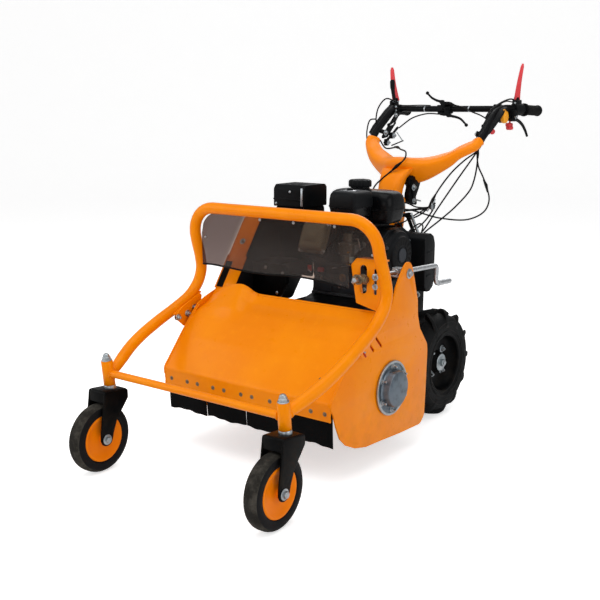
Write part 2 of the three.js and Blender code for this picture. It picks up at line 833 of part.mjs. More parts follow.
// Folded plate inside the left upright, with two upright slots.
function adjusterBracket() {
  const { y, plate, flange } = BRACKET;
  return cut(
    join(
      plateY(bracketFace, y, y + plate),
      block(261, 345, y, y + flange, 634, 638.5), // folded top edge
      plateY(bracketChamfer, y, y + flange),
      plateY(bracketSide, y, y + flange),
      block(290, 350, y, y + 30, 500, 505), // stiffener from foot to upright
    ),
    block(274, 298, y - 2, y + 8, 536, 620),
    block(322, 331, y - 2, y + 8, 536, 612),
  );
}

function frontFrame() {
  const tubesAndSleeves = join(
    tube([...hoopHalf(1), ...hoopHalf(-1).reverse()], HOOP.tubeRadius, 12),
    bar(
      vec(-CASTER.x, SLEEVE.y, SLEEVE.crossbarZ),
      vec(CASTER.x, SLEEVE.y, SLEEVE.crossbarZ),
      12.5,
      12,
    ),
    ...[-1, 1].map((side) => kingpinBar(side * CASTER.x, SLEEVE.z0, SLEEVE.z1, 23, 20)),
  );
  return join(
    cut(
      tubesAndSleeves,
      ...[-1, 1].map((side) => kingpinBar(side * CASTER.x, 240, 345, 12.5, 16)),
    ),
    ...[-1, 1].flatMap(framePivot),
    adjusterBracket(),
    // ties for the shield along the top tube
    ...[-230, 0, 230].map((x) => block(x - 12, x + 12, -632, -622, 716, 740)),
  );
}
part(front, "front_frame", frontFrame(), "orange");

// Shield behind the hoop, with a folded lip under the top tube.
const SHIELD_Y = [-606, -603];
const shieldOutline = [
  [-326, 716], [-334, 690], [-334, 600], [-332, 563], [-274, 564], [-193, 559], [-115, 555],
  [-35, 557], [62, 561], [136, 557], [208, 550], [237, 547], [237, 646], [333, 646],
  [333, 690], [326, 716], [240, 728], [-240, 728],
];
part(
  front,
  "shield",
  join(
    plateY(shieldOutline, ...SHIELD_Y),
    block(-240, 240, -621.4, SHIELD_Y[1], 724, 728),
  ),
  "smoke",
);

// ---------------------------------------------------------------- casters
const FORK = { inner: CASTER.width / 2 + 7, plate: 5 };
const forkLeg = [
  [-1074, 250], [-986, 241], [-988, 214], [-1030, 158], [-1052, 98], [-1060, 87], [-1073, 83],
  [-1086, 87], [-1093, 100], [-1094, 120], [-1088, 180], [-1080, 226],
];
const forkCrown = [[-1074, 250], [-986, 241], [-987, 234], [-1075, 243]];

const casterFork = () =>
  cut(
    join(
      ...bothSides((side) => plateX(forkLeg, ...spanX(side, FORK.inner, FORK.inner + FORK.plate))),
      plateX(forkCrown, -FORK.inner - 1, FORK.inner + 1),
      kingpinBar(0, 242, SLEEVE.z0 - SEAT_GAP, 20, 16), // thrust collar
      kingpinBar(0, 244, 340, 11.4, 16),
      kingpinBar(0, SLEEVE.z1 + SEAT_GAP, SLEEVE.z1 + 11, 19, 16), // cap above the sleeve
      kingpinBar(0, SLEEVE.z1 + 10, SLEEVE.z1 + 20, 14, 16, 8),
    ),
    barX(-60, 60, CASTER.y, CASTER.z, 6.4, 12),
  );

// Axle with a hexagonal head outside each fork leg.
const casterAxle = () =>
  join(
    barX(-44, 44, CASTER.y, CASTER.z, 6, 12),
    ...bothSides((side) =>
      barX(...spanX(side, FORK.inner + 5.4, FORK.inner + 14), CASTER.y, CASTER.z, 11, 6),
    ),
  );

const casterEdge = CASTER.width / 2;
const casterRim = [
  [6.9, -casterEdge - 5], [15, -casterEdge - 5], [15, -casterEdge + 6], [46, -casterEdge + 8],
  [66, -casterEdge + 2], [70, -casterEdge + 4], [70, casterEdge - 4], [66, casterEdge - 2],
  [46, casterEdge - 8], [15, casterEdge - 6], [15, casterEdge + 5], [6.9, casterEdge + 5],
  [6.9, -casterEdge - 5],
];
const casterTyre = [
  [70.5, -casterEdge + 3], [76, -casterEdge], [94, -casterEdge + 1],
  [CASTER.radius, -casterEdge + 12], [CASTER.radius, casterEdge - 12],
  [94, casterEdge - 1], [76, casterEdge], [70.5, casterEdge - 3], [70.5, -casterEdge + 3],
];
for (const [side, name] of SIDES) {
  const caster = group("caster_group_" + name, front, side * CASTER.x, 0, 0);
  part(caster, "caster_fork_" + name, casterFork(), "black");
  part(caster, "caster_axle_" + name, casterAxle(), "zinc");
  const wheel = group("caster_wheel_group_" + name, caster, 0, CASTER.y, CASTER.z);
  part(wheel, "caster_rim_" + name, turnedX(casterRim, 0, 0, 0, 36), "orange");
  part(wheel, "caster_tyre_" + name, turnedX(casterTyre, 0, 0, 0, 36), "tread");
}

// ---------------------------------------------------------------- height adjuster
part(
  group("trunnion_group"),
  "adjuster_trunnion",
  cut(
    join(
      block(268, 316, TRUNNION_Y - 15, TRUNNION_Y + 15, TRUNNION_Z - 16, TRUNNION_Z + 16),
      barX(310, 334, TRUNNION_Y, TRUNNION_Z, 8, 16), // pin through the side plate's ear
      barX(324, 334, TRUNNION_Y, TRUNNION_Z, 13, 6), // hexagonal head
    ),
    rodAround(TRUNNION_Y, 40, ROD.radius + 0.9, 16),
  ),
  "zinc",
);

const CRANK = { arm: 60, grip: 96, bend: 12 };
function crankRod() {
  const along = vec(0, ROD.y1 - ROD.y0, ROD.z1 - ROD.z0).normalize();
  const down = vec(0, along.z, -along.y).normalize(); // perpendicular to the rod
  const elbow = rodAt(ROD.y1);
  const armEnd = elbow.clone().addScaledVector(down, CRANK.arm);
  const gripEnd = armEnd.clone().addScaledVector(along, CRANK.grip);
  return join(
    tube(fillet([rodAt(ROD.y0), elbow, armEnd, gripEnd], CRANK.bend, 3), ROD.radius, 12),
    // collars each side of the trunnion
    bar(rodAt(TRUNNION_Y - 24), rodAt(TRUNNION_Y - 15.8), 13, 16),
    bar(rodAt(TRUNNION_Y + 15.8), rodAt(TRUNNION_Y + 24), 13, 16),
  );
}
part(group("crank_group"), "crank_rod", crankRod(), "zinc");

const NUT_Z = rodAt(NUT_Y).z;
part(
  group("adjuster_nut_group"),
  "adjuster_nut",
  cut(
    join(
      barX(266, 306, NUT_Y, NUT_Z, 12.6, 16),
      barX(262, 266.2, NUT_Y, NUT_Z, 9, 12),
      barX(305.8, 310, NUT_Y, NUT_Z, 9, 12),
    ),
    rodAround(NUT_Y, 40, ROD.radius + 2, 16),
  ),
  "zinc",
);

// ---------------------------------------------------------------- rubber debris flaps
const flapSpans = [[-316, -160], [-158, -2], [2, 158], [160, 316]];
const flapOutline = [
  [-795, 248], [-790, 248], [-788, 205], [-784, 128], [-789, 128], [-794, 205],
];
flapSpans.forEach(([x0, x1], i) =>
  part(
    group("flap_group_" + (i + 1)),
    "rubber_flap_" + (i + 1),
    plateX(flapOutline, x0, x1),
    "rubber",
  ),
);

// ---------------------------------------------------------------- drive wheels
// Angles in radians: `slant` is the turn from a lug's inner to its outer end.
const TREAD = { count: 10, depth: 18, slant: 0.3, halfAngle: 0.062, rootFlare: 1.25 };
const tyreEdge = WHEEL.width / 2;

// One slanted lug on the half of the tread towards +X (half = 1) or -X (half = -1).
function treadLug(i, half) {
  const angle = (2 * Math.PI * (i + (half > 0 ? 0.5 : 0))) / TREAD.count;
  const root = WHEEL.radius - TREAD.depth;
  // [x, angle, root radius, crest radius] at the inner and outer ends
  const ends = [
    [half * 2, angle, root - 2, WHEEL.radius],
    [half * (tyreEdge - 1), angle + TREAD.slant, root - 10, WHEEL.radius - 7],
  ];
  const corners = ends.flatMap(([x, middle, rootR, crestR]) =>
    [
      [rootR, middle - TREAD.halfAngle * TREAD.rootFlare],
      [rootR, middle + TREAD.halfAngle * TREAD.rootFlare],
      [crestR, middle - TREAD.halfAngle],
      [crestR, middle + TREAD.halfAngle],
    ].flatMap(([radius, a]) => [x, radius * Math.cos(a), radius * Math.sin(a)]),
  );
  // vertices: 0, 1 inner root; 2, 3 inner crest; 4, 5 outer root; 6, 7 outer crest
  return polyhedron(corners, [
    0, 2, 1, 1, 2, 3, 4, 5, 6, 5, 7, 6, 0, 1, 4, 1, 5, 4,
    2, 6, 3, 3, 6, 7, 0, 4, 2, 2, 4, 6, 1, 3, 5, 3, 7, 5,
  ]);
}

const tyreProfile = [
  [104, -tyreEdge + 6], [136, -tyreEdge], [160, -tyreEdge + 8], [170, -tyreEdge + 34],
  [170, tyreEdge - 34], [160, tyreEdge - 8], [136, tyreEdge], [104, tyreEdge - 6],
  [104, -tyreEdge + 6],
];
const driveTyre = () =>
  join(
    turnedX(tyreProfile, 0, 0, 0, 36),
    ...times(TREAD.count, (i) => bothSides((half) => treadLug(i, half))).flat(),
  );

const rimProfile = [
  [0, -40], [34, -40], [34, 6], [70, 6], [90, -10], [98, -46], [103.4, -46], [103.4, 46],
  [98, 46], [92, 24], [72, 14], [40, 14], [34, 30], [0, 30],
];
// Dished rim with the shaft that runs into the gearbox.
const driveRim = (side) =>
  join(
    turnedX(mirrorProfile(rimProfile, side), 0, 0, 0, 36),
    barX(...spanX(side, -94, -30), 0, 0, 14, 16),
  );
for (const [side, name] of SIDES) {
  const wheel = group("drive_wheel_group_" + name, machine, side * WHEEL.x, WHEEL.y, WHEEL.z);
  part(wheel, "drive_tyre_" + name, driveTyre(), "rubber");
  part(wheel, "drive_rim_" + name, driveRim(side), "black");
}

// ---------------------------------------------------------------- handle column
const columnLine = [vec(0, -60, 449), vec(0, -14, 640), vec(0, -10, 668)];
const columnSection = [[-27, -36], [27, -36], [27, 36], [-27, 36]];
const pivotEar = [
  [-34, 700], [-28, 742], [-14, 756], [22, 756], [34, 744], [36, 700], [22, 640], [-36, 640],
  [-42, 660],
];
part(
  chassis,
  "handle_column",
  join(
    cut(
      sweep(columnLine, columnSection),
      block(-80, 80, -140, 60, 400, ENGINE_FOOT_Z), // levels the foot
    ),
    block(-46, 46, -42, 22, 636, 672),
    ...bothSides((side) => plateX(pivotEar, ...spanX(side, 41, 46))),
    barX(-51, 51, HANDLE_PIVOT.y, HANDLE_PIVOT.z, 8, 16),
    block(-64, 64, -98, -8, ENGINE_FOOT_Z, 454), // foot plate
  ),
  "orange",
);

// ---------------------------------------------------------------- yoke, bars and grips
const handle = group("handlebar_group", machine, 0, HANDLE_PIVOT.y, HANDLE_PIVOT.z);
// Machine coordinates to coordinates about the handle pivot.
const fromPivot = (x, y, z) => vec(x, y - HANDLE_PIVOT.y, z - HANDLE_PIVOT.z);
const outlineFromPivot = (outline) =>
  outline.map(([y, z]) => [y - HANDLE_PIVOT.y, z - HANDLE_PIVOT.z]);
const handleGroup = (name, x, y, z) => group(name, handle, ...fromPivot(x, y, z).toArray());

// Left half of the yoke's centreline: [x, y, z, half height, half depth].
const yokeHalf = [
  [220, 236, 943, 19, 26], [212, 214, 929, 17.5, 24], [180, 177, 907, 18, 28],
  [146, 156, 883, 24, 35], [97, 129, 858, 32.5, 36], [54, 100, 844, 43, 29],
  [0, 73, 842, 49, 28],
];
// [x, y, z, half width, half depth, rise]
const neckRows = [
  [0, 2, 712, 38, 32], [0, 3, 752, 39, 33, 2], [0, 12, 792, 42, 34, 4], [0, 44, 838, 52, 34, 6],
];
const lockHousing = [
  [36, 800], [44, 822], [118, 808], [99, 774], [80, 745], [92, 726], [52, 728], [44, 760],
];

function yokeArms() {
  const mirrored = yokeHalf
    .slice(0, -1)
    .reverse()
    .map(([x, ...rest]) => [-x, ...rest]);
  const line = [...yokeHalf, ...mirrored];
  const back = vec(0, 1, 0.45).normalize();
  return loft(
    line.map(([x, y, z, halfHeight, halfDepth], i) => {
      const before = line[Math.max(i - 1, 0)];
      const after = line[Math.min(i + 1, line.length - 1)];
      const tangent = vec(...after.slice(0, 3))
        .sub(vec(...before.slice(0, 3)))
        .normalize();
      const depth = back.clone().addScaledVector(tangent, -back.dot(tangent)).normalize();
      const height = tangent.clone().cross(depth).normalize();
      return {
        centre: fromPivot(x, y, z),
        halfA: height.multiplyScalar(halfHeight),
        halfB: depth.multiplyScalar(halfDepth),
      };
    }),
  );
}
const yokeNeck = () =>
  uprightLoft(
    neckRows.map(([x, y, z, ...rest]) => [...fromPivot(x, y, z).toArray(), ...rest]),
  );
part(
  handle,
  "yoke_cover",
  cut(
    join(
      yokeArms(),
      yokeNeck(),
      // height lock housing behind the neck
      plateX(outlineFromPivot(lockHousing), 28, 52),
    ),
    barX(-60, 60, 0, 0, 9, 16),
    // sockets for the two bar tubes
    ...bothSides((side) =>
      bar(fromPivot(side * 219, 222, 934), fromPivot(side * 229, 256, 966), BAR_R + 2, 16),
    ),
  ),
  "orange",
);

// [x, y, z] along the left bar tube, from the yoke to the grip.
const barLine = [
  [222.6, 233.8, 945], [228, 262, 968], [226, 312, 1006], [224, 362, 1042], [230, 392, 1056],
  [244, 420, 1059], [262, 448, 1056], [272, 476, 1054], [281.6, 574, 1051],
];
const stayOutline = outlineFromPivot([
  [256, 950], [372, 1052], [396, 1060], [404, 1040], [374, 1030], [300, 950],
]);
const barTube = (side) =>
  tube(
    barLine.map(([x, y, z]) => fromPivot(side * x, y, z)),
    BAR_R,
    14,
  );
part(
  handle,
  "handlebar_tube",
  join(
    ...bothSides(barTube),
    bar(fromPivot(-224, 398, 1057), fromPivot(224, 398, 1057), 12, 14), // crossbar
    // stay plates from the yoke ends to the crossbar
    ...bothSides((side) => plateX(stayOutline, ...spanX(side, 196, 202))),
    // ties between stays and tubes
    ...bothSides((side) =>
      bar(fromPivot(side * 194, 278, 968), fromPivot(side * 228, 278, 978), 9, 10),
    ),
  ),
  "black",
);

function grip(side) {
  const start = fromPivot(side * 273, 486, 1053.7);
  const end = fromPivot(side * 284, 598, 1050);
  const along = end.clone().sub(start).normalize();
  const beyond = (point, distance) => point.clone().addScaledVector(along, distance);
  return cut(
    join(
      bar(start, end, GRIP_R, 20),
      bar(start, beyond(start, 7), GRIP_R + 5, 20),
      bar(beyond(end, -9), end, GRIP_R + 2, 20),
    ),
    bar(beyond(start, -10), beyond(start, 98), BAR_R + 1.4, 16),
  );
}

// ---------------------------------------------------------------- hand controls
// Lever blades: [x, y, z, half width, half depth].
const redLeverRows = [[0, 0, 4, 6, 12], [8, 0, 60, 6, 11], [17, -3, 120, 5.5, 9], [19, -4, 134, 4, 6]];
const shiftLeverRows = [[0, 0, 4, 5, 9], [-6, -4, 30, 6, 11], [-10, -6, 78, 8, 12], [-10, -6, 86, 5, 8]];
const throttleRows = [[2, 0, 8, 5, 8], [2, 16, 26, 4, 6]];
const leverHub = () => barX(-8, 8, 0, 0, 9, 14);

// Dead-man lever.
const redLever = (side) =>
  join(
    leverHub(),
    uprightLoft(redLeverRows.map(([x, ...rest]) => [side * x, ...rest])),
  );
for (const [side, name] of SIDES) {
  part(handle, "grip_" + name, grip(side), "black");
  part(
    handleGroup("red_lever_group_" + name, side * 258, 458, 1086),
    "red_lever_" + name,
    redLever(side),
    "red",
  );
}

// Lever beside the red lever on the operator's right.
part(
  handleGroup("shift_lever_group", -242, 424, 1084),
  "shift_lever",
  join(leverHub(), uprightLoft(shiftLeverRows)),
  "black",
);

// Two ball-ended levers at the crossbar; each line lists [x, z] from the lever's hub.
const handLevers = [
  { x: -8, z: 1082, line: [[0, 0], [-22, 6], [-44, 16], [-64, 34]] },
  { x: 22, z: 1034, line: [[0, 0], [26, -6], [50, -14], [74, -36]] },
];
function handLever(line) {
  const points = line.map(([x, z]) => vec(x, 0, z));
  const tip = points[points.length - 1];
  return join(
    sweep(points, ring(4.5, 8, 6)),
    barY(-8, 8, 0, 0, 8, 12),
    solid(
      new THREE.SphereGeometry(7, 10, 8),
      new THREE.Matrix4().makeTranslation(tip.x, tip.y, tip.z),
    ),
  );
}
handLevers.forEach(({ x, z, line }, i) =>
  part(
    handleGroup("hand_lever_group_" + (i + 1), x, 380, z),
    "hand_lever_" + (i + 1),
    handLever(line),
    "black",
  ),
);

// Curved lever under the left grip.
const brakeLine = [[0, 0, 0], [2, 34, -6], [4, 72, -22], [4, 104, -46], [4, 122, -66]];
part(
  handleGroup("brake_lever_group", 262, 424, 1022),
  "brake_lever",
  join(
    sweep(
      brakeLine.map((p) => vec(...p)),
      ring(5, 8, 7),
    ),
    barX(-7, 7, 0, 0, 9, 12),
  ),
  "black",
);

// Throttle knob and stop switch on the left bar.
part(
  handleGroup("throttle_group", 250, 372, 1030),
  "throttle_lever",
  join(barX(-6, 8, 0, 0, 17, 18), uprightLoft(throttleRows)),
  "yellow",
);
part(
  handleGroup("stop_switch_group", 244, 436, 1006),
  "stop_switch",
  join(block(-9, 9, -14, 14, -12, 4), barZ(-22, -10, 0, 0, 8, 14)),
  "red",
);

export default mower;
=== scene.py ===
"""Looks of a walk-behind flail brush mower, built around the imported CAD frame.

Piece coordinates are millimetres: +Z up, -Y front, +X the operator's left, with Y counted from
the drive axle. Every mesh is written in metres, moved back onto the frame's origin.
"""

import math

import bmesh
import bpy
import numpy as np
from mathutils import Matrix, Vector as Vec


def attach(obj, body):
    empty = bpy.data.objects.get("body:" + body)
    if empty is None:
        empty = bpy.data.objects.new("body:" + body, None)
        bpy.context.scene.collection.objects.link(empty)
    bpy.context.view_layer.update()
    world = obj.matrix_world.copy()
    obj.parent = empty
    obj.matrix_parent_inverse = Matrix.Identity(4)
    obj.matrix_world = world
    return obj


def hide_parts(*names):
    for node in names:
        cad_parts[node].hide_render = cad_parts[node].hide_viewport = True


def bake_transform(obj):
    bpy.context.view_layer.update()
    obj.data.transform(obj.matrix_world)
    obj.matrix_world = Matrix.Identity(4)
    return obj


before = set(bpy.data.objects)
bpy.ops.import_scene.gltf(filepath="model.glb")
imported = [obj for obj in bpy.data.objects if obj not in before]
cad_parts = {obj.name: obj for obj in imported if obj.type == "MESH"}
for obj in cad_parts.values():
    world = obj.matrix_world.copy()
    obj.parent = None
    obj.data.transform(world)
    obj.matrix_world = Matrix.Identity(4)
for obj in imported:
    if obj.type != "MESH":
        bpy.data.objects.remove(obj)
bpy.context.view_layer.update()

MM = 0.001
AXLE_Y = 287.14  # the drive axle lies this far behind the frame's origin
SHIFT = Vec((0, AXLE_Y, 0))
SIDES = ((1, "left"), (-1, "right"))
LEFT, RIGHT = (1, 0, 0), (-1, 0, 0)
FRONT, REAR = (0, -1, 0), (0, 1, 0)
UP, DOWN = (0, 0, 1), (0, 0, -1)


# ------------------------------------------------------------------ small maths
def unit(vector):
    return Vec(vector).normalized()


def lerp(start, end, t):
    return start + (end - start) * t


def smoothstep(t):
    t = min(max(t, 0.0), 1.0)
    return t * t * (3 - 2 * t)


def interp(x, table):
    """Piecewise-linear table of (x, value), sorted by x."""
    if x <= table[0][0]:
        return table[0][1]
    for (x0, value0), (x1, value1) in zip(table, table[1:]):
        if x <= x1:
            return value0 + (value1 - value0) * (x - x0) / (x1 - x0)
    return table[-1][1]


def squared(value, power):
    """A sine or cosine pushed outward, so that a circle becomes a squarish loop."""
    return math.copysign(abs(value) ** power, value)


def turns(count):
    """Evenly spaced angles round a full turn."""
    return [2 * math.pi * i / count for i in range(count)]


def corner_arc(corner, back, ahead, lengths, angle, radius, steps):
    """Points of the arc that rounds a corner; back and ahead are unit vectors along its legs."""
    half_tan = math.tan(angle / 2)
    reach = min(radius / half_tan, lengths[0] * 0.48, lengths[1] * 0.48)
    fitted = reach * half_tan
    centre = corner + (back + ahead).normalized() * (fitted / math.sin(angle / 2))
    start, end = corner + back * reach - centre, corner + ahead * reach - centre
    sweep = start.angle(end)
    points = []
    for j in range(steps + 1):
        f = j / steps
        chord = start * math.sin((1 - f) * sweep) + end * math.sin(f * sweep)
        points.append(centre + chord / math.sin(sweep))
    return points


def rounded(points, radius, steps=5):
    """A closed 2-D outline with its corners rounded; radius is one value or one per point."""
    out = []
    for i, point in enumerate(points):
        own = radius[i] if isinstance(radius, (list, tuple)) else radius
        corner = Vec(point)
        back, ahead = Vec(points[i - 1]) - corner, Vec(points[(i + 1) % len(points)]) - corner
        lengths = back.length, ahead.length
        if own <= 0 or min(lengths) < 1e-6:
            out.append(tuple(corner))
            continue
        back, ahead = back / lengths[0], ahead / lengths[1]
        angle = math.acos(max(-1, min(1, back.dot(ahead))))
        if angle > math.pi - 0.03 or angle < 0.05:
            out.append(tuple(corner))
            continue
        out += [tuple(q) for q in corner_arc(corner, back, ahead, lengths, angle, own, steps)]
    return out


def rounded_rect(half_x, half_y, radius, steps=5):
    return rounded([(-half_x, -half_y), (half_x, -half_y), (half_x, half_y), (-half_x, half_y)],
                   radius, steps)


def bent(points, radius, steps=6):
    """An open centreline whose corners are rounded by arcs."""
    pts = [Vec(p) for p in points]
    out = [pts[0].copy()]
    for i in range(1, len(pts) - 1):
        own = radius[i - 1] if isinstance(radius, (list, tuple)) else radius
        corner = pts[i]
        back, ahead = pts[i - 1] - corner, pts[i + 1] - corner
        lengths = back.length, ahead.length
        back, ahead = back.normalized(), ahead.normalized()
        angle = back.angle(ahead)
        if angle > math.pi - 0.02 or own <= 0:
            out.append(corner.copy())
        else:
            out += corner_arc(corner, back, ahead, lengths, angle, own, steps)
    out.append(pts[-1].copy())
    return out


def spline(points, step=8.0):
    """Centripetal Catmull-Rom curve through the points, resampled about every step mm."""
    def mix(a, b, time_a, time_b, t):
        return a * ((time_b - t) / (time_b - time_a)) + b * ((t - time_a) / (time_b - time_a))

    pts = [Vec(p) for p in points]
    count = len(pts)
    out = []
    for i in range(count - 1):
        p0 = pts[i - 1] if i > 0 else pts[0] * 2 - pts[1]
        p1, p2 = pts[i], pts[i + 1]
        p3 = pts[i + 2] if i + 2 < count else pts[-1] * 2 - pts[-2]
        t0 = 0.0
        t1 = max((p1 - p0).length, 1e-6) ** 0.5
        t2 = t1 + max((p2 - p1).length, 1e-6) ** 0.5
        t3 = t2 + max((p3 - p2).length, 1e-6) ** 0.5
        pieces = max(2, int(round((p2 - p1).length / step)))
        for j in range(pieces):
            t = lerp(t1, t2, j / pieces)
            a1, a2, a3 = mix(p0, p1, t0, t1, t), mix(p1, p2, t1, t2, t), mix(p2, p3, t2, t3, t)
            out.append(mix(mix(a1, a2, t0, t2, t), mix(a2, a3, t1, t3, t), t1, t2, t))
    out.append(pts[-1].copy())
    return out


def circle(cx, cy, radius, count=32):
    return [(cx + radius * math.cos(a), cy + radius * math.sin(a)) for a in turns(count)]


def slot(cx, cy, length, width, angle, steps=8):
    """A slotted hole outline centred on (cx, cy), turned by angle in radians."""
    out = []
    half = (length - width) / 2
    ca, sa = math.cos(angle), math.sin(angle)
    for side in (1, -1):
        for i in range(steps + 1):
            a = -math.pi / 2 + math.pi * i / steps
            x, y = side * (half + width / 2 * math.cos(a)), side * width / 2 * math.sin(a)
            out.append((cx + x * ca - y * sa, cy + x * sa + y * ca))
    return out


def basis(direction):
    """Rotation whose local Z is direction."""
    z = unit(direction)
    up = Vec((0, 1, 0)) if abs(z.z) > 0.98 else Vec((0, 0, 1))
    x = up.cross(z).normalized()
    return Matrix((x, z.cross(x), z)).transposed()


def inset_loops(x_range, y_range, rows, steps=6):
    """Level rounded rectangles; rows are (z, inset of the sides, corner radius)."""
    (x0, x1), (y0, y1) = x_range, y_range
    return [[Vec((a, b, z)) for a, b in rounded(
        [(x0 + inset, y0 + inset), (x1 - inset, y0 + inset),
         (x1 - inset, y1 - inset), (x0 + inset, y1 - inset)], radius, steps)]
        for z, inset, radius in rows]


# ------------------------------------------------------------------ mesh pieces
# Local (a, b) of an outline and c of its thickness, turned into x, y, z.
PLATE_AXES = {
    "X": Matrix(((0, 0, 1), (1, 0, 0), (0, 1, 0))),  # (a, b) = (y, z)
    "Y": Matrix(((1, 0, 0), (0, 0, -1), (0, 1, 0))),  # (a, b) = (x, z), thickness along -y
    "Z": Matrix.Identity(3),
}
PRISM_AXES = {**PLATE_AXES, "Y": Matrix(((1, 0, 0), (0, 0, 1), (0, 1, 0)))}  # along +y
AXES = {"X": Vec(LEFT), "Y": Vec(REAR), "Z": Vec(UP)}


def round_edges(bm, width, segments):
    if width > 0:
        bmesh.ops.bevel(bm, geom=bm.edges[:], offset=width, offset_type="OFFSET",
                        segments=segments, profile=0.5, affect="EDGES", clamp_overlap=True)


class Piece:
    """One visible object, gathered from closed shells; it is made when the with block ends.

    smooth is the sharp-edge angle in degrees, bevel a width in mm, replaces a CAD piece's name.
    """

    def __init__(self, name, *mats, body="chassis", slot=None, smooth=38, bevel=0,
                 replaces=None):
        self.name, self.mats, self.body = name, list(mats), body
        self.slot = slot or DEFAULT_SLOT.get(mats[0].name)
        self.smooth, self.bevel, self.replaces = smooth, bevel, replaces
        self.bm = bmesh.new()
        self.mat_index = 0

    def __enter__(self):
        return self

    def __exit__(self, error, *_):
        if error is None:
            self.finish()

    def use(self, mat):
        """Give everything added from here on this material."""
        if mat not in self.mats:
            self.mats.append(mat)
        self.mat_index = self.mats.index(mat)
        return self

    def add(self, verts, faces):
        made = [self.bm.verts.new((Vec(v) + SHIFT) * MM) for v in verts]
        new_faces = []
        for face_verts in faces:
            if len(set(face_verts)) < 3:
                continue
            # guards against a face that already exists between the same vertices
            try:
                face = self.bm.faces.new([made[i] for i in face_verts])
            except ValueError:
                continue
            face.material_index = self.mat_index
            new_faces.append(face)
        bmesh.ops.recalc_face_normals(self.bm, faces=new_faces)
        return new_faces

    def absorb(self, bm, turn, offset):
        """Add a temporary bmesh, turned and moved, and free it."""
        index = {v: i for i, v in enumerate(bm.verts)}
        verts = [turn @ v.co + offset for v in bm.verts]
        faces = [[index[v] for v in f.verts] for f in bm.faces]
        bm.free()
        return self.add(verts, faces)

    # ---- closed shells
    def plate(self, outline, c0, c1, plane="X", bevel=0.8, holes=(), res=1):
        """An outline with holes, given a thickness from c0 to c1 along the plane's axis."""
        thick = abs(c1 - c0)
        bevel = min(bevel, thick * 0.45)
        curve = bpy.data.curves.new("tmp", "CURVE")
        curve.dimensions = "2D"
        curve.fill_mode = "BOTH"
        curve.extrude = thick / 2 - bevel
        curve.bevel_depth = bevel
        curve.bevel_resolution = res
        curve.offset = -bevel
        for loop in (outline, *holes):
            line = curve.splines.new("POLY")
            line.points.add(len(loop) - 1)
            for point, q in zip(line.points, loop):
                point.co = (q[0], q[1], 0, 1)
            line.use_cyclic_u = True
        ob = bpy.data.objects.new("tmp", curve)
        bpy.context.scene.collection.objects.link(ob)
        depsgraph = bpy.context.evaluated_depsgraph_get()
        mesh = bpy.data.meshes.new_from_object(ob.evaluated_get(depsgraph))
        bm = bmesh.new()
        bm.from_mesh(mesh)
        bmesh.ops.remove_doubles(bm, verts=bm.verts, dist=0.002)
        bmesh.ops.dissolve_limit(bm, angle_limit=0.01, verts=bm.verts, edges=bm.edges)
        bpy.data.objects.remove(ob)
        bpy.data.curves.remove(curve)
        bpy.data.meshes.remove(mesh)
        return self.absorb(bm, PLATE_AXES[plane], AXES[plane] * ((c0 + c1) / 2))

    def sheet(self, line, thick, c0, c1, plane="X", bevel=0.6, r=0, side=1):
        """A folded sheet: an open 2-D line thickened to its right, pushed from c0 to c1."""
        pts = [Vec((p[0], p[1], 0)) for p in line]
        if r:
            pts = bent(pts, r, 6)
        pts = [Vec((p.x, p.y)) for p in pts]
        inner = []
        for i, here in enumerate(pts):
            into, away = here - pts[max(i - 1, 0)], pts[min(i + 1, len(pts) - 1)] - here
            if into.length < 1e-9:
                into = away.copy()
            if away.length < 1e-9:
                away = into.copy()
            into.normalize()
            away.normalize()
            normal = Vec((into.y, -into.x))
            mitre = (normal + Vec((away.y, -away.x))).normalized()
            inner.append(here + mitre * (side * thick / max(mitre.dot(normal), 0.4)))
        outline = [tuple(p) for p in pts] + [tuple(p) for p in reversed(inner)]
        return self.plate(outline, c0, c1, plane, bevel)

    def tube(self, path, radius, sides=20, cap=0.0, closed=False):
        """Round bar along a path; radius is a number or a list; cap rounds the ends."""
        pts = [Vec(p) for p in path]
        count = len(pts)
        radii = list(radius) if isinstance(radius, (list, tuple)) else [radius] * count
        tangents = []
        for i in range(count):
            if closed:
                chord = pts[(i + 1) % count] - pts[i - 1]
            else:
                chord = pts[min(i + 1, count - 1)] - pts[max(i - 1, 0)]
            tangents.append(chord.normalized())
        up = Vec(UP)
        if abs(up.dot(tangents[0])) > 0.95:
            up = Vec(LEFT)
        across = (up - tangents[0] * up.dot(tangents[0])).normalized()
        frames = []
        for i, tangent in enumerate(tangents):
            if i:
                across = tangents[i - 1].rotation_difference(tangent) @ across
                across = (across - tangent * across.dot(tangent)).normalized()
            frames.append((pts[i], tangent, across.copy(), tangent.cross(across)))
        verts, rings = [], []

        def ring(frame, r, advance=0.0):
            centre, tangent, u, v = frame
            rings.append(len(verts))
            centre = centre + tangent * advance
            for a in turns(sides):
                verts.append(centre + u * (math.cos(a) * r) + v * (math.sin(a) * r))

        def end(frame, r, sign):
            if cap <= 0:
                ring(frame, r)
                return
            for degrees in (0, 30, 60, 90)[::sign]:
                a = math.radians(degrees)
                ring(frame, r - cap * (1 - math.sin(a)), sign * cap * (1 - math.cos(a)))

        end(frames[0], radii[0], 1)
        for i in range(1, count - (0 if closed else 1)):
            point = frames[i][0]
            if cap > 0 and min((point - pts[0]).length, (point - pts[-1]).length) < cap * 1.05:
                continue
            ring(frames[i], radii[i])
        if not closed:
            end(frames[-1], radii[-1], -1)
        faces = []
        for a, b in zip(rings, rings[1:]):
            for k in range(sides):
                k2 = (k + 1) % sides
                faces.append((a + k, a + k2, b + k2, b + k))
        if closed:
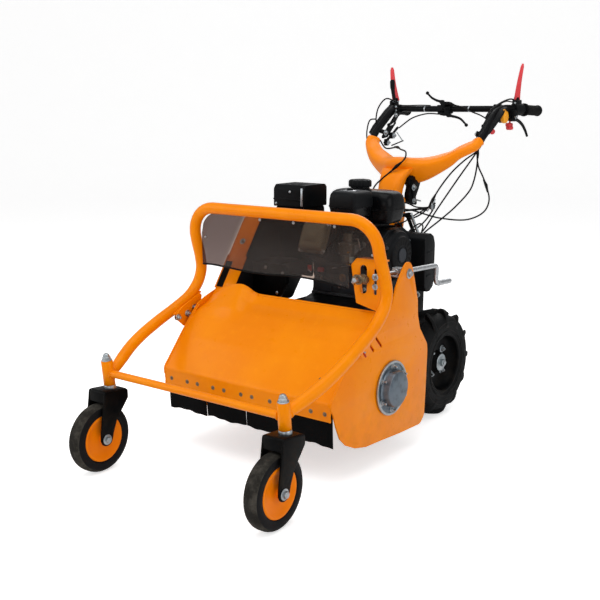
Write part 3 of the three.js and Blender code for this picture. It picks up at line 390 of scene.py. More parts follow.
            # match the last ring to the first with the smallest twist
            a, b = rings[-1], rings[0]
            best = min(range(sides), key=lambda s: sum(
                (verts[a + k] - verts[b + (k + s) % sides]).length for k in range(0, sides, 4)))
            for k in range(sides):
                faces.append((a + k, a + (k + 1) % sides,
                              b + (k + 1 + best) % sides, b + (k + best) % sides))
        else:
            faces.append(tuple(reversed(range(rings[0], rings[0] + sides))))
            faces.append(tuple(range(rings[-1], rings[-1] + sides)))
        return self.add(verts, faces)

    def rod(self, start, end, r, sides=24, cap=0.6):
        start, end = Vec(start), Vec(end)
        length = (end - start).length
        c = min(cap, length * 0.3, r * 0.5)
        return self.lathe([(0, 0), (r - c, 0), (r - 0.3 * c, 0.3 * c), (r, c), (r, length - c),
                           (r - 0.3 * c, length - 0.3 * c), (r - c, length), (0, length)],
                          start, end - start, sides)

    def lathe(self, profile, origin, axis, sides=32, wobble=None):
        """Turned part from (radius, height along axis) points.

        The profile ends on the axis, or closes on itself. wobble(angle, radius, height) scales
        the radius.
        """
        turn, origin = basis(axis), Vec(origin)
        verts, rows = [], []
        for r, h in profile:
            if r < 1e-6:
                rows.append([len(verts)] * sides)
                verts.append(origin + turn @ Vec((0, 0, h)))
                continue
            rows.append(list(range(len(verts), len(verts) + sides)))
            for a in turns(sides):
                own = r * (wobble(a, r, h) if wobble else 1.0)
                verts.append(origin + turn @ Vec((own * math.cos(a), own * math.sin(a), h)))
        if profile[0][0] > 1e-6 and profile[-1][0] > 1e-6:
            rows.append(rows[0])
        faces = []
        for a, b in zip(rows, rows[1:]):
            for i in range(sides):
                k = (i + 1) % sides
                face = list(dict.fromkeys((a[i], a[k], b[k], b[i])))
                if len(face) > 2:
                    faces.append(face)
        return self.add(verts, faces)

    def box(self, low, high, r=1.5, seg=2):
        """A block between two corners with every edge rounded."""
        low, high = Vec(low), Vec(high)
        size = high - low
        bm = bmesh.new()
        bmesh.ops.create_cube(bm, size=1.0)
        for v in bm.verts:
            v.co = Vec((v.co.x * size.x, v.co.y * size.y, v.co.z * size.z))
        round_edges(bm, min(r, min(size) * 0.49), seg)
        return self.absorb(bm, Matrix.Identity(3), (low + high) / 2)

    def prism(self, outline, c0, c1, plane="X", r=3.0, seg=3, turn=None, at=(0, 0, 0)):
        """Solid outline pushed along an axis with all its edges rounded by r."""
        bm = bmesh.new()
        start = [bm.verts.new((p[0], p[1], c0)) for p in outline]
        end = [bm.verts.new((p[0], p[1], c1)) for p in outline]
        count = len(outline)
        bm.faces.new(list(reversed(start)))
        bm.faces.new(end)
        for i in range(count):
            k = (i + 1) % count
            bm.faces.new((start[i], start[k], end[k], end[i]))
        bmesh.ops.recalc_face_normals(bm, faces=bm.faces[:])
        round_edges(bm, r, seg)
        return self.absorb(bm, turn or PRISM_AXES[plane], Vec(at))

    def loft(self, loops):
        """Skin through equal-length loops of 3-D points; the ends are capped."""
        sides, count = len(loops[0]), len(loops)
        faces = []
        for j in range(count - 1):
            a, b = j * sides, (j + 1) * sides
            for i in range(sides):
                k = (i + 1) % sides
                faces.append((a + i, a + k, b + k, b + i))
        faces.append(tuple(reversed(range(sides))))
        faces.append(tuple(range((count - 1) * sides, count * sides)))
        return self.add([p for loop in loops for p in loop], faces)

    def slab(self, verts, rows):
        """A closed slab from columns of rows; each place gives a front and a back point."""
        width = 2 * rows
        columns = len(verts) // width
        faces = []
        for i in range(columns - 1):
            for j in range(rows - 1):
                a, b = i * width + 2 * j, (i + 1) * width + 2 * j
                faces.append((a, b, b + 2, a + 2))
                faces.append((a + 1, a + 3, b + 3, b + 1))
            for j in (0, rows - 1):
                a, b = i * width + 2 * j, (i + 1) * width + 2 * j
                faces.append((a, a + 1, b + 1, b))
        for i in (0, columns - 1):
            for j in range(rows - 1):
                a = i * width + 2 * j
                faces.append((a, a + 2, a + 3, a + 1))
        return self.add(verts, faces)

    def strip(self, path, sizes, side_axis, sides=18, power=0.7):
        """A tapered bar; sizes are (half width along side_axis, half thickness)."""
        pts = [Vec(p) for p in path]
        loops = []
        for i, (point, (wide, thick)) in enumerate(zip(pts, sizes)):
            tangent = unit(pts[min(i + 1, len(pts) - 1)] - pts[max(i - 1, 0)])
            across = Vec(side_axis)
            across = (across - tangent * across.dot(tangent)).normalized()
            normal = tangent.cross(across).normalized()
            loops.append([point + across * (squared(math.cos(a), power) * wide)
                          + normal * (squared(math.sin(a), power) * thick)
                          for a in turns(sides)])
        self.loft(loops)

    # ---- fasteners
    def hexnut(self, point, axis, flats=13, h=6, phase=0.0, washer=True, end=2.0, bolt_r=None,
               dome=False):
        """Hexagon head or nut standing on a point, with a washer and a bolt end or a dome."""
        point, axis = Vec(point), unit(axis)
        z = 0.0
        if washer:
            self.lathe([(0, 0), (flats * 0.92, 0), (flats * 0.92, 1.1), (flats * 0.86, 1.5),
                        (0, 1.5)], point, axis, 24)
            z = 1.45
        turn = basis(axis)
        across_corners = flats / 2 / math.cos(math.pi / 6)
        chamfer = flats / 2 * 0.94
        loops = []
        for level, limit in ((z, across_corners * 0.97), (z + 0.5, across_corners),
                             (z + h - 1.1, across_corners), (z + h, chamfer)):
            loop = []
            for i in range(24):
                a = 2 * math.pi * i / 24 + phase
                # the hexagon's radius at this angle, cut to a circle at the chamfers
                q = (a - phase) % (math.pi / 3) - math.pi / 6
                r = across_corners * math.cos(math.pi / 6) / math.cos(q)
                if limit < across_corners:
                    r = min(r, limit)
                loop.append(point + turn @ Vec((r * math.cos(a), r * math.sin(a), level)))
            loops.append(loop)
        self.loft(loops)
        top = z + h
        if dome:
            r = chamfer * 0.98
            self.lathe([(0, top - 0.3), (r, top - 0.3), (r * 0.97, top + r * 0.35),
                        (r * 0.8, top + r * 0.72), (r * 0.45, top + r * 0.95), (0, top + r)],
                       point, axis, 20)
        elif end > 0:
            self.rod(point + axis * (top - 0.5), point + axis * (top + end),
                     bolt_r or flats * 0.3, 16)

    def hexnuts(self, points, axis, flats=13, h=6, **options):
        for point in points:
            self.hexnut(point, axis, flats, h, **options)

    def button(self, point, axis, r=8, h=4.0, socket=True):
        """Domed bolt head."""
        profile = [(0, 0), (r, 0), (r, 0.6), (r * 0.93, h * 0.5), (r * 0.7, h * 0.85),
                   (r * 0.4, h)]
        if socket:
            profile += [(r * 0.34, h * 0.98), (r * 0.3, h * 0.55), (0, h * 0.5)]
        else:
            profile += [(0, h * 1.03)]
        return self.lathe(profile, point, axis, 20)

    def buttons(self, points, axis, r, h):
        for point in points:
            self.button(point, axis, r, h)

    # ---- finish
    def finish(self):
        mesh = bpy.data.meshes.new(self.name)
        bmesh.ops.dissolve_degenerate(self.bm, edges=self.bm.edges[:], dist=1e-7)
        self.bm.to_mesh(mesh)
        self.bm.free()
        for mat in self.mats:
            mesh.materials.append(mat)
        ob = self.object = bpy.data.objects.new(self.name, mesh)
        bpy.context.scene.collection.objects.link(ob)
        if self.bevel:
            mod = ob.modifiers.new("bevel", "BEVEL")
            mod.width, mod.segments = self.bevel * MM, 2
            mod.limit_method, mod.angle_limit = "ANGLE", math.radians(40)
            mod.use_clamp_overlap = True
            depsgraph = bpy.context.evaluated_depsgraph_get()
            bevelled = bpy.data.meshes.new_from_object(ob.evaluated_get(depsgraph))
            ob.modifiers.clear()
            ob.data = bevelled
            bpy.data.meshes.remove(mesh)
            bevelled.name = self.name
            mesh = bevelled
        mesh.shade_smooth()
        mesh.set_sharp_from_angle(angle=math.radians(self.smooth))
        if self.body:
            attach(ob, self.body)
        if self.replaces:
            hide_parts(self.replaces)


# ------------------------------------------------------------------ material building
def srgb(text):
    """A '#rrggbb' colour as linear RGBA."""
    out = []
    for i in (1, 3, 5):
        c = int(text[i:i + 2], 16) / 255
        out.append(c / 12.92 if c <= 0.04045 else ((c + 0.055) / 1.055) ** 2.4)
    return (*out, 1.0)


class Shader:
    """A procedural node material; scales are in object space, distances in metres."""

    def __init__(self, name):
        self.mat = bpy.data.materials.new(name)
        self.mat.use_nodes = True
        self.tree = self.mat.node_tree
        self.bsdf = self.tree.nodes.get("Principled BSDF")
        self.out = self.tree.nodes.get("Material Output")
        self.place = self.new("ShaderNodeTexCoord").outputs["Object"]

    def new(self, kind, **settings):
        node = self.tree.nodes.new(kind)
        for key, value in settings.items():
            setattr(node, key, value)
        return node

    def link(self, source, target):
        self.tree.links.new(source, target)

    def feed(self, socket, value):
        """Link a socket, or set it to a constant."""
        if isinstance(value, (int, float, tuple)):
            socket.default_value = value
        else:
            self.link(value, socket)

    def noise(self, scale, detail=3.0, rough=0.55, stretch=None):
        node = self.new("ShaderNodeTexNoise")
        node.inputs["Scale"].default_value = scale
        node.inputs["Detail"].default_value = detail
        node.inputs["Roughness"].default_value = rough
        source = self.place
        if stretch:
            mapping = self.new("ShaderNodeMapping")
            mapping.inputs["Scale"].default_value = stretch
            self.link(source, mapping.inputs["Vector"])
            source = mapping.outputs["Vector"]
        self.link(source, node.inputs["Vector"])
        return node.outputs["Fac"]

    def voronoi(self, scale):
        node = self.new("ShaderNodeTexVoronoi", feature="F1")
        node.inputs["Scale"].default_value = scale
        self.link(self.place, node.inputs["Vector"])
        return node.outputs["Distance"]

    def ramp(self, value, lo, hi, to_lo=0.0, to_hi=1.0):
        """Smooth step from to_lo at lo to to_hi at hi."""
        node = self.new("ShaderNodeMapRange", interpolation_type="SMOOTHSTEP")
        node.inputs["From Min"].default_value = lo
        node.inputs["From Max"].default_value = hi
        node.inputs["To Min"].default_value = to_lo
        node.inputs["To Max"].default_value = to_hi
        self.link(value, node.inputs["Value"])
        return node.outputs["Result"]

    def math(self, operation, a, b, clamp=False):
        node = self.new("ShaderNodeMath", operation=operation, use_clamp=clamp)
        self.feed(node.inputs[0], a)
        self.feed(node.inputs[1], b)
        return node.outputs[0]

    def times(self, a, b):
        return self.math("MULTIPLY", a, b)

    def plus(self, a, b, clamp=False):
        return self.math("ADD", a, b, clamp)

    def mix(self, factor, a, b):
        node = self.new("ShaderNodeMix", data_type="RGBA")
        for index, value in ((0, factor), (6, a), (7, b)):
            self.feed(node.inputs[index], value)
        return node.outputs[2]

    def edge(self, radius):
        """1 on sharp outer edges, 0 on flats."""
        bevel = self.new("ShaderNodeBevel", samples=4)
        bevel.inputs["Radius"].default_value = radius
        geometry = self.new("ShaderNodeNewGeometry")
        dot = self.new("ShaderNodeVectorMath", operation="DOT_PRODUCT")
        self.link(bevel.outputs["Normal"], dot.inputs[0])
        self.link(geometry.outputs["Normal"], dot.inputs[1])
        return self.ramp(dot.outputs["Value"], lo=0.995, hi=0.86)

    def height(self):
        node = self.new("ShaderNodeSeparateXYZ")
        self.link(self.place, node.inputs[0])
        return node.outputs["Z"]

    def bump(self, height, strength, distance, over=None):
        """Normal of a bump layer, laid over another one's."""
        node = self.new("ShaderNodeBump")
        node.inputs["Strength"].default_value = strength
        node.inputs["Distance"].default_value = distance
        self.link(height, node.inputs["Height"])
        if over is not None:
            self.link(over, node.inputs["Normal"])
        return node.outputs["Normal"]

    def finish(self, color, rough, metal, **inputs):
        for key, value in (("Base Color", color), ("Roughness", rough), ("Metallic", metal),
                           *((k.replace("_", " "), v) for k, v in inputs.items())):
            self.feed(self.bsdf.inputs[key], value)
        return self.mat


def paint(name, base, dark, light, worn, rough, coat, wear, spec, dust=0.12, tint=(1, 1, 1)):
    """Paint on steel: hue drift, orange peel, fine scratches, worn edges, dust low down."""
    n = Shader(name)
    drift = n.noise(scale=5.5, detail=4)
    mottle = n.noise(scale=38, detail=4, rough=0.6)
    color = n.mix(n.ramp(drift, lo=0.35, hi=0.68), srgb(dark), srgb(base))
    color = n.mix(n.times(n.ramp(mottle, lo=0.5, hi=0.8), 0.35), color, srgb(light))
    streaks = n.noise(scale=210, detail=2, rough=0.5, stretch=(1.0, 0.12, 0.35))
    scratches = n.ramp(streaks, lo=0.70, hi=0.74)
    color = n.mix(n.times(scratches, 0.16), color, srgb(light))
    flakes = n.ramp(n.noise(scale=95, detail=5, rough=0.7), lo=0.52, hi=0.62)
    chips = n.times(n.times(n.edge(radius=0.0012), flakes), wear)
    color = n.mix(chips, color, srgb(worn))
    low = n.ramp(n.height(), lo=0.34, hi=0.06)
    patches = n.ramp(n.noise(scale=26, detail=6, rough=0.65), lo=0.42, hi=0.7)
    dirt = n.times(n.times(low, patches), dust)
    color = n.mix(dirt, color, srgb("#6d5a43"))
    rough = n.plus(n.times(n.ramp(mottle, lo=0.3, hi=0.8), 0.16), rough - 0.06)
    rough = n.plus(rough, n.times(scratches, 0.12))
    rough = n.plus(rough, n.times(dirt, 1.6), clamp=True)
    normal = n.bump(n.noise(scale=330, detail=2, rough=0.5), strength=0.07, distance=0.0012)
    normal = n.bump(drift, strength=0.08, distance=0.01, over=normal)
    normal = n.bump(chips, strength=-0.25, distance=0.0006, over=normal)
    return n.finish(color, rough, n.times(chips, 0.6), Coat_Weight=coat, Coat_Roughness=0.12,
                    Specular_IOR_Level=spec, Specular_Tint=(*tint, 1), Normal=normal)


def plastic(name, base, light, rough, grain, strength, dust, var=0.5, coat=0.0, spec=0.3,
            tint=(1, 1, 1)):
    """Moulded plastic with a fine etched grain, faint flow marks and rubbed edges."""
    n = Shader(name)
    flow = n.noise(scale=9, detail=4)
    fine = n.noise(scale=grain, detail=3, rough=0.6)
    cells = n.voronoi(scale=grain * 1.3)
    color = n.mix(n.times(n.ramp(flow, lo=0.35, hi=0.75), var), srgb(base), srgb(light))
    rubbed = n.times(n.edge(radius=0.0016), n.ramp(n.noise(scale=70, detail=4), lo=0.4, hi=0.7))
    color = n.mix(n.times(rubbed, 0.35), color, srgb("#6b6c6e"))
    specks = n.ramp(n.noise(scale=48, detail=6, rough=0.7), lo=0.5, hi=0.85)
    color = n.mix(n.times(specks, dust), color, srgb("#77726a"))
    rough = n.plus(n.times(n.ramp(fine, lo=0.3, hi=0.7), 0.12), rough - 0.05)
    rough = n.plus(rough, n.times(flow, 0.08), clamp=True)
    normal = n.bump(cells, strength=strength, distance=0.0005)
    normal = n.bump(fine, strength=strength * 0.6, distance=0.0004, over=normal)
    return n.finish(color, rough, 0.0, Coat_Weight=coat, Coat_Roughness=0.2,
                    Specular_IOR_Level=spec, Specular_Tint=(*tint, 1), Normal=normal)


def rubber(name, base, light, rough, scuff, scale=1.0, spec=0.12):
    """Rubber: bloom, scuffs and tiny pores."""
    n = Shader(name)
    bloom = n.noise(scale=14 * scale, detail=5, rough=0.65)
    fine = n.noise(scale=260 * scale, detail=4, rough=0.65)
    color = n.mix(n.times(n.ramp(bloom, lo=0.42, hi=0.75), scuff), srgb(base), srgb(light))
    color = n.mix(n.times(n.ramp(fine, lo=0.55, hi=0.8), scuff * 0.7), color, srgb(light))
    rubbed = n.times(n.edge(radius=0.002), n.ramp(n.noise(scale=60, detail=5), lo=0.35, hi=0.65))
    color = n.mix(n.times(rubbed, 0.4 * scuff + 0.08), color, srgb("#6a655e"))
    rough = n.plus(n.times(n.ramp(fine, lo=0.3, hi=0.7), 0.14), rough - 0.06, clamp=True)
    normal = n.bump(fine, strength=0.35, distance=0.0007)
    normal = n.bump(n.noise(scale=70 * scale, detail=4), strength=0.25, distance=0.0015,
                    over=normal)
    return n.finish(color, rough, 0.0, Specular_IOR_Level=spec, Normal=normal)


def metal(name, base, dark, rough, brushed=False, stain=0.4, metallic=1.0, cast=0.0, tint=None):
    """Bare, plated or cast metal with blotches, turning marks and darker staining; on the bronze
    bolts the heavy dark blotches also stand in for shade.
    """
    n = Shader(name)
    blotch = n.noise(scale=42, detail=5, rough=0.6)
    color = n.mix(n.times(n.ramp(blotch, lo=0.45, hi=0.75), stain), srgb(base), srgb(dark))
    if tint:
        tinge = n.ramp(n.noise(scale=16, detail=3), lo=0.45, hi=0.7)
        color = n.mix(n.times(tinge, 0.35), color, srgb(tint))
    color = n.mix(n.times(n.edge(radius=0.001), 0.35), color, srgb("#d9dadb"))
    fine = n.noise(scale=420, detail=3, rough=0.6, stretch=(1, 1, 0.15) if brushed else None)
    rough = n.plus(n.times(n.ramp(blotch, lo=0.3, hi=0.75), 0.2), rough - 0.07)
    rough = n.plus(rough, n.times(fine, 0.08), clamp=True)
    if cast:
        grit = n.noise(scale=300, detail=4, rough=0.7)
        normal = n.bump(grit, strength=0.5 * cast, distance=0.0009)
        normal = n.bump(n.voronoi(scale=180), strength=0.3 * cast, distance=0.0007, over=normal)
    else:
        normal = n.bump(fine, strength=0.10, distance=0.0004)
    return n.finish(color, rough, metallic, Normal=normal)


def smoke_material():
    """Smoked clear sheet: see-through brown-grey with a faint haze and a glossy face."""
    n = Shader("smoked_sheet")
    clear = n.new("ShaderNodeBsdfTransparent")
    haze = n.noise(scale=7, detail=4)
    axes = n.new("ShaderNodeSeparateXYZ")
    n.link(n.new("ShaderNodeTexCoord").outputs["Object"], axes.inputs[0])
    x, z = axes.outputs[0], axes.outputs[2]
    # a darker film right of a slanting line: x = -0.243 at z = 0.567, moving 0.544 per metre up
    line_x = n.plus(n.times(n.math("SUBTRACT", z, 0.567), 0.544), -0.243)
    left_of_line = n.math("SUBTRACT", x, line_x)
    film = n.ramp(n.plus(n.times(left_of_line, 10.0), 0.5), lo=0.35, hi=0.65)
    plain = n.mix(n.ramp(haze, lo=0.3, hi=0.75), srgb("#c4b8b0"), srgb("#cfc4bc"))
    n.link(n.mix(film, srgb("#a89c99"), plain), clear.inputs["Color"])
    diffuse = n.new("ShaderNodeBsdfDiffuse")
    diffuse.inputs["Color"].default_value = srgb("#7a6e68")
    glossy = n.new("ShaderNodeBsdfGlossy")
    glossy.inputs["Color"].default_value = (0.85, 0.85, 0.85, 1)
    n.link(n.ramp(haze, lo=0.3, hi=0.8, to_lo=0.10, to_hi=0.22), glossy.inputs["Roughness"])
    hazy = n.new("ShaderNodeMixShader")
    n.link(n.plus(n.times(n.ramp(haze, lo=0.4, hi=0.8), 0.03), 0.06), hazy.inputs[0])
    n.link(clear.outputs[0], hazy.inputs[1])
    n.link(diffuse.outputs[0], hazy.inputs[2])
    fresnel = n.new("ShaderNodeFresnel")
    fresnel.inputs["IOR"].default_value = 1.3
    faced = n.new("ShaderNodeMixShader")
    n.link(n.times(fresnel.outputs[0], 0.8), faced.inputs[0])
    n.link(hazy.outputs[0], faced.inputs[1])
    n.link(glossy.outputs[0], faced.inputs[2])
    n.link(faced.outputs[0], n.out.inputs["Surface"])
    n.tree.nodes.remove(n.bsdf)
    return n.mat


# ------------------------------------------------------------------ palette
# paint: base, dark, light, worn colours
ORANGE = paint("orange_paint", "#f68c00", "#f08300", "#fd9a06", "#8a6b4a",
               rough=0.33, coat=0.10, wear=0.30, spec=0.22, tint=(1, 0.55, 0.12))
# a darker copy of the orange paint for the deck's inside faces: painted shade, with more dust as
# well
ORANGE_SHADED_INNER = paint("orange_paint_inner_shaded", "#d96f04", "#b95a03", "#e88512", "#6d563e",
                  rough=0.42, coat=0.03, wear=0.3, dust=0.3, spec=0.2, tint=(1, 0.55, 0.12))
# plastic and rubber: base, light colours
ORANGE_PL = plastic("orange_moulding", "#f68402", "#ff950c", rough=0.34, grain=520,
                    strength=0.10, var=0.45, coat=0.12, dust=0.03, spec=0.25, tint=(1, 0.6, 0.2))
DISC = plastic("orange_wheel_disc", "#f07a00", "#fb8a06", rough=0.42, grain=420,
               strength=0.18, coat=0.03, dust=0.06, spec=0.22, tint=(1, 0.6, 0.2))
# red-brown standing in for the shaded inside of the deck seen through slits: painted shade
SLIT_SHADE = paint("slit_painted_shade", "#c02a06", "#a32004", "#cc3c10", "#6b1a06",
             rough=0.5, coat=0.0, wear=0.1, spec=0.1)
BLACK = paint("black_paint", "#0a0b0c", "#060708", "#131416", "#44454a",
              rough=0.36, coat=0.0, wear=0.25, dust=0.06, spec=0.05)
SATIN = paint("satin_black", "#0f1113", "#0a0b0d", "#191b1e", "#505256",
              rough=0.46, coat=0.0, wear=0.3, dust=0.1, spec=0.08)
FRAME_BLACK = paint("frame_black", "#08090a", "#050607", "#101114", "#3d3e42",
                    rough=0.5, coat=0.0, wear=0.25, dust=0.15, spec=0.05)
PLASTIC = plastic("black_plastic", "#0e1012", "#17191c", rough=0.42, grain=430,
                  strength=0.22, dust=0.03, spec=0.10)
GLOSSY = plastic("tank_black", "#08090b", "#0e1013", rough=0.22, grain=600,
                 strength=0.05, coat=0.05, dust=0.02, spec=0.10)
GREY_PL = plastic("grey_plastic", "#2b2f35", "#3a3f46", rough=0.5, grain=380,
                  strength=0.3, dust=0.15)
GRIP = rubber("grip_rubber", "#0c0d0e", "#1c1d1f", rough=0.7, scuff=0.25, scale=1.6)
FLAP = rubber("flap_rubber", "#050506", "#0f0f10", rough=0.62, scuff=0.2, scale=0.8, spec=0.05)
TYRE = rubber("tyre_rubber", "#0d0e0f", "#222325", rough=0.66, scuff=0.35)
SIDEWALL = rubber("caster_sidewall", "#0b0b0d", "#1a1a1c", rough=0.5, scuff=0.25)
TREAD = rubber("caster_tread", "#24221f", "#55514a", rough=0.9, scuff=0.8, scale=1.3)
CABLE = rubber("cable_sheath", "#0c0c0d", "#222224", rough=0.42, scuff=0.2)
BELT = rubber("belt_rubber", "#151515", "#2c2b2a", rough=0.8, scuff=0.4)
# metal: base, dark colours
# bronze of the plated bolts, darkened with heavy blotches to stand in for the shade in their small
# heads: partly painted shade
BOLT_BRONZE_SHADED = metal("bronze_bolt_shaded", "#7c6a4e", "#2e2a22", rough=0.42, stain=0.75, metallic=0.75,
                  tint="#5a4326")
ZINC = metal("zinc_plate", "#aeb4b8", "#6f777c", rough=0.3, stain=0.5, tint="#9fb0b3")
# a spare: no piece wears it
metal("zinc_flange", "#7f8a8f", "#4c565a", rough=0.34, stain=0.6, tint="#6f8a88")
STEEL = metal("bright_steel", "#c2c5c8", "#8b8f93", rough=0.24, brushed=True)
CHROME = metal("bright_plate", "#d5d8db", "#a6aaad", rough=0.12, stain=0.3)
BLADE = metal("blade_steel", "#6d6a66", "#3f3a34", rough=0.5, stain=0.8, cast=0.3,
              tint="#6b4f3a")
CAST = metal("cast_aluminium", "#84867f", "#54564f", rough=0.52, cast=0.8, stain=0.5,
             metallic=0.85)
ROCKER = metal("rocker_cover", "#868472", "#666454", rough=0.45, cast=0.15, stain=0.3,
               metallic=0.25)
FLANGE = metal("bearing_casting", "#6b7680", "#3f474e", rough=0.3, stain=0.5, metallic=0.9,
               cast=0.1, tint="#56666e")
DARKCAST = metal("dark_casting", "#3b3e42", "#1d1f22", rough=0.55, cast=0.9, stain=0.5,
                 metallic=0.5)
BRASS = metal("brass", "#b98f3e", "#7f5f28", rough=0.35, stain=0.5)
RED = plastic("red_lever_plastic", "#d8343a", "#e9525a", rough=0.36, grain=420,
              strength=0.12, coat=0.25, dust=0.02)
YELLOW = plastic("yellow_knob", "#f7a30c", "#ffb733", rough=0.4, grain=420,
                 strength=0.12, coat=0.2, dust=0.02)
# two spares: no piece wears them
plastic("pale_blank_plate", "#aeb6bd", "#c5ccd2", rough=0.35, grain=300, strength=0.08, dust=0.05)
rubber("starter_rope", "#2a2b2e", "#55565a", rough=0.9, scuff=0.6, scale=3)
PORCELAIN = plastic("plug_ceramic", "#d9d8d2", "#e8e7e2", rough=0.25, grain=300,
                    strength=0.04, coat=0.6, dust=0.1)
SMOKE = smoke_material()

# The slot a piece takes from its first material, unless it names another.
SLOT_MATERIALS = {
    "deck_paint": (ORANGE, ORANGE_SHADED_INNER),
    "black_steel": (BLACK, SATIN, FRAME_BLACK),
    "zinc": (ZINC, STEEL, BOLT_BRONZE_SHADED, FLANGE, CHROME),
    "blade_steel": (BLADE,),
    "cast_alloy": (CAST, DARKCAST, ROCKER),
    "black_plastic": (PLASTIC, GREY_PL, PORCELAIN),
    "tank_plastic": (GLOSSY,),
    "cover_plastic": (ORANGE_PL,),
    "belt_rubber": (BELT, CABLE),
    "flap_rubber": (FLAP,),
    "grip_rubber": (GRIP,),
    "tyre_rubber": (TYRE,),
    "caster_tread": (TREAD,),
    "caster_disc": (DISC,),
    "smoked_sheet": (SMOKE,),
    "lever_red": (RED,),
    "lever_yellow": (YELLOW,),
}
DEFAULT_SLOT = {mat.name: key for key, mats in SLOT_MATERIALS.items() for mat in mats}


# ------------------------------------------------------------------ deck
ROTOR_Y, ROTOR_Z = -498.0, 236.0
SHAFT_Y, SHAFT_Z = -215.0, 590.0  # engine output shaft
PIVOT_Y, PIVOT_Z = -668.0, 388.0  # the front frame turns here
TRUNNION_Y, NUT_Y = -404, -614
SIDE_IN, SIDE_OUT = 318, 323  # faces of the side plates
SKIN_X = 317.4  # half width of the cover skin
COVER_BEND = math.radians(-46)  # slant of the slits

# Side outline as (y, z): lower edge, the left plate's raised ear, front edge.
LOWER = [(-799, 231), (-784, 189), (-764, 148), (-734, 121), (-687, 99), (-629, 86), (-552, 82),
         (-436, 74), (-312, 70), (-287, 92), (-282, 175), (-277, 306), (-281, 330), (-328, 388),
         (-343, 432)]
FRONT_EDGE = [(-500, 481), (-561, 474), (-611, 458), (-649, 441), (-683, 407), (-731, 354),
              (-774, 303), (-809, 263), (-808, 240)]
EAR = [(-346, 480), (-367, 545), (-385, 592), (-395, 603), (-408, 608), (-422, 606), (-435, 596),
       (-457, 571), (-478, 540)]
SLITS = [(-605, 380, 33), (-568, 390.5, 48)]  # (y, z, length)

# Axis of the height adjuster's crank rod
ROD_A, ROD_B = Vec((286, -690, 583)), Vec((286, -166, 561))
ROD_DIR = (ROD_B - ROD_A).normalized()


def rod_at(y):
    return ROD_A + (ROD_B - ROD_A) * ((y - ROD_A.y) / (ROD_B.y - ROD_A.y))


TRUNNION = rod_at(TRUNNION_Y)
NUT = rod_at(NUT_Y)


def side_plate(sign, side):
    top = EAR if sign > 0 else [(-346, 470), (-372, 478)]
    holes = [circle(ROTOR_Y, ROTOR_Z, 34, 48), circle(PIVOT_Y, PIVOT_Z, 9, 24)]
    if sign > 0:
        holes.append(circle(TRUNNION.y, TRUNNION.z, 9, 24))
        holes += [slot(y, z, length, 8.4, COVER_BEND, 6) for y, z, length in SLITS]
    with Piece("deck_side_" + side, ORANGE, smooth=30, replaces="side_plate_" + side) as part:
        part.plate(rounded(LOWER + top + FRONT_EDGE, 26, 6), sign * SIDE_IN, sign * SIDE_OUT,
                   bevel=1.0, holes=holes, res=2)


side_plate(1, "left")
# sheet behind the left plate's slits, coloured as the shade inside the deck: painted shade
with Piece("deck_slit_shade_backing", SLIT_SHADE) as part:
    part.plate(rounded([(-664, 352), (-660, 392), (-560, 424), (-532, 404), (-545, 360),
                        (-600, 348)], 8), 315.2, 317.4, bevel=0.5)
side_plate(-1, "right")

# Cover profile in (y, z) from the bolted front edge up to the top fold
SKIN = bent([(-806, 208, 0), (-808, 259, 0), (-774, 298, 0), (-731, 349, 0), (-683, 402, 0),
             (-649, 434, 0), (-611, 457, 0), (-588, 477, 0), (-580, 484, 0)],
            [16, 60, 90, 90, 60, 60, 30], 7)
# Rise of the cover's top edge as (x, rise): a bulge on the right
TOP_LINE = [(-318, -24), (-306, -14), (-291, -6), (-270, 4), (-247, 12), (-232, 17), (-217, 21),
            (-200, 24.5), (-183, 25.5), (-168, 23), (-154, 17), (-145, 11), (-136, 5),
            (-121, 0.8), (-108, 0), (330, 0)]


def bulge(x):
    """Rise of the top edge, softened over 5 mm either way."""
    return (interp(x - 5, TOP_LINE) + 2 * interp(x, TOP_LINE) + interp(x + 5, TOP_LINE)) / 4


def front_cover():
    thick = 3.6
    total = sum((b - a).length for a, b in zip(SKIN, SKIN[1:]))
    points = []
    for a, b in zip(SKIN, SKIN[1:]):
        steps = max(1, int(round((b - a).length / 11)))
        points += [a.lerp(b, i / steps) for i in range(steps)]
    points.append(SKIN[-1])
    profile = []  # (y, z, share of the way up the skin)
    travelled, previous = 0.0, points[0]
    for point in points:
        travelled += (point - previous).length
        profile.append((point.x, point.y, travelled / total))
        previous = point
    # close stations over the bulge, wider ones beyond it
    stations = [-SKIN_X + i * 4.6 for i in range(50)]
    x = stations[-1]
    while x < SKIN_X - 20:
        x += 18
        stations.append(x)
    stations.append(SKIN_X)
    lines = []
    for x in stations:
        rise = bulge(x)
        line = []
        for y, z, share in profile:
            fade = smoothstep((share - 0.62) / 0.36)
            line.append(Vec((x, y - max(rise, 0) * 0.30 * fade, z + rise * fade)))
        lines.append(line)
    rows, last = len(profile), len(stations) - 1
    verts, faces = [], []
    for i, line in enumerate(lines):
        for j, point in enumerate(line):
            along = (line[min(j + 1, rows - 1)] - line[max(j - 1, 0)]).normalized()
            across = (lines[min(i + 1, last)][j] - lines[max(i - 1, 0)][j]).normalized()
            normal = along.cross(across)
            if normal.dot(Vec((0, -along.z, along.y))) < 0:
                normal = -normal
            normal.normalize()
            verts += [point, point - normal * thick]
    for i in range(last):
        for j in range(rows - 1):
            a, b = 2 * (i * rows + j), 2 * ((i + 1) * rows + j)
            faces.append((a, b, b + 2, a + 2))
            faces.append((a + 1, a + 3, b + 3, b + 1))
    for i in range(last):
        a, b = 2 * i * rows, 2 * (i + 1) * rows
        faces.append((a, a + 1, b + 1, b))
        a, b = a + 2 * (rows - 1), b + 2 * (rows - 1)
        faces.append((a, b, b + 1, a + 1))
    for j in range(rows - 1):
        for i in (0, last):
            a = 2 * (i * rows + j)
            faces.append((a, a + 2, a + 3, a + 1))
    with Piece("deck_front_cover", ORANGE, smooth=50, replaces="deck_cover") as part:
        part.add(verts, faces)


front_cover()
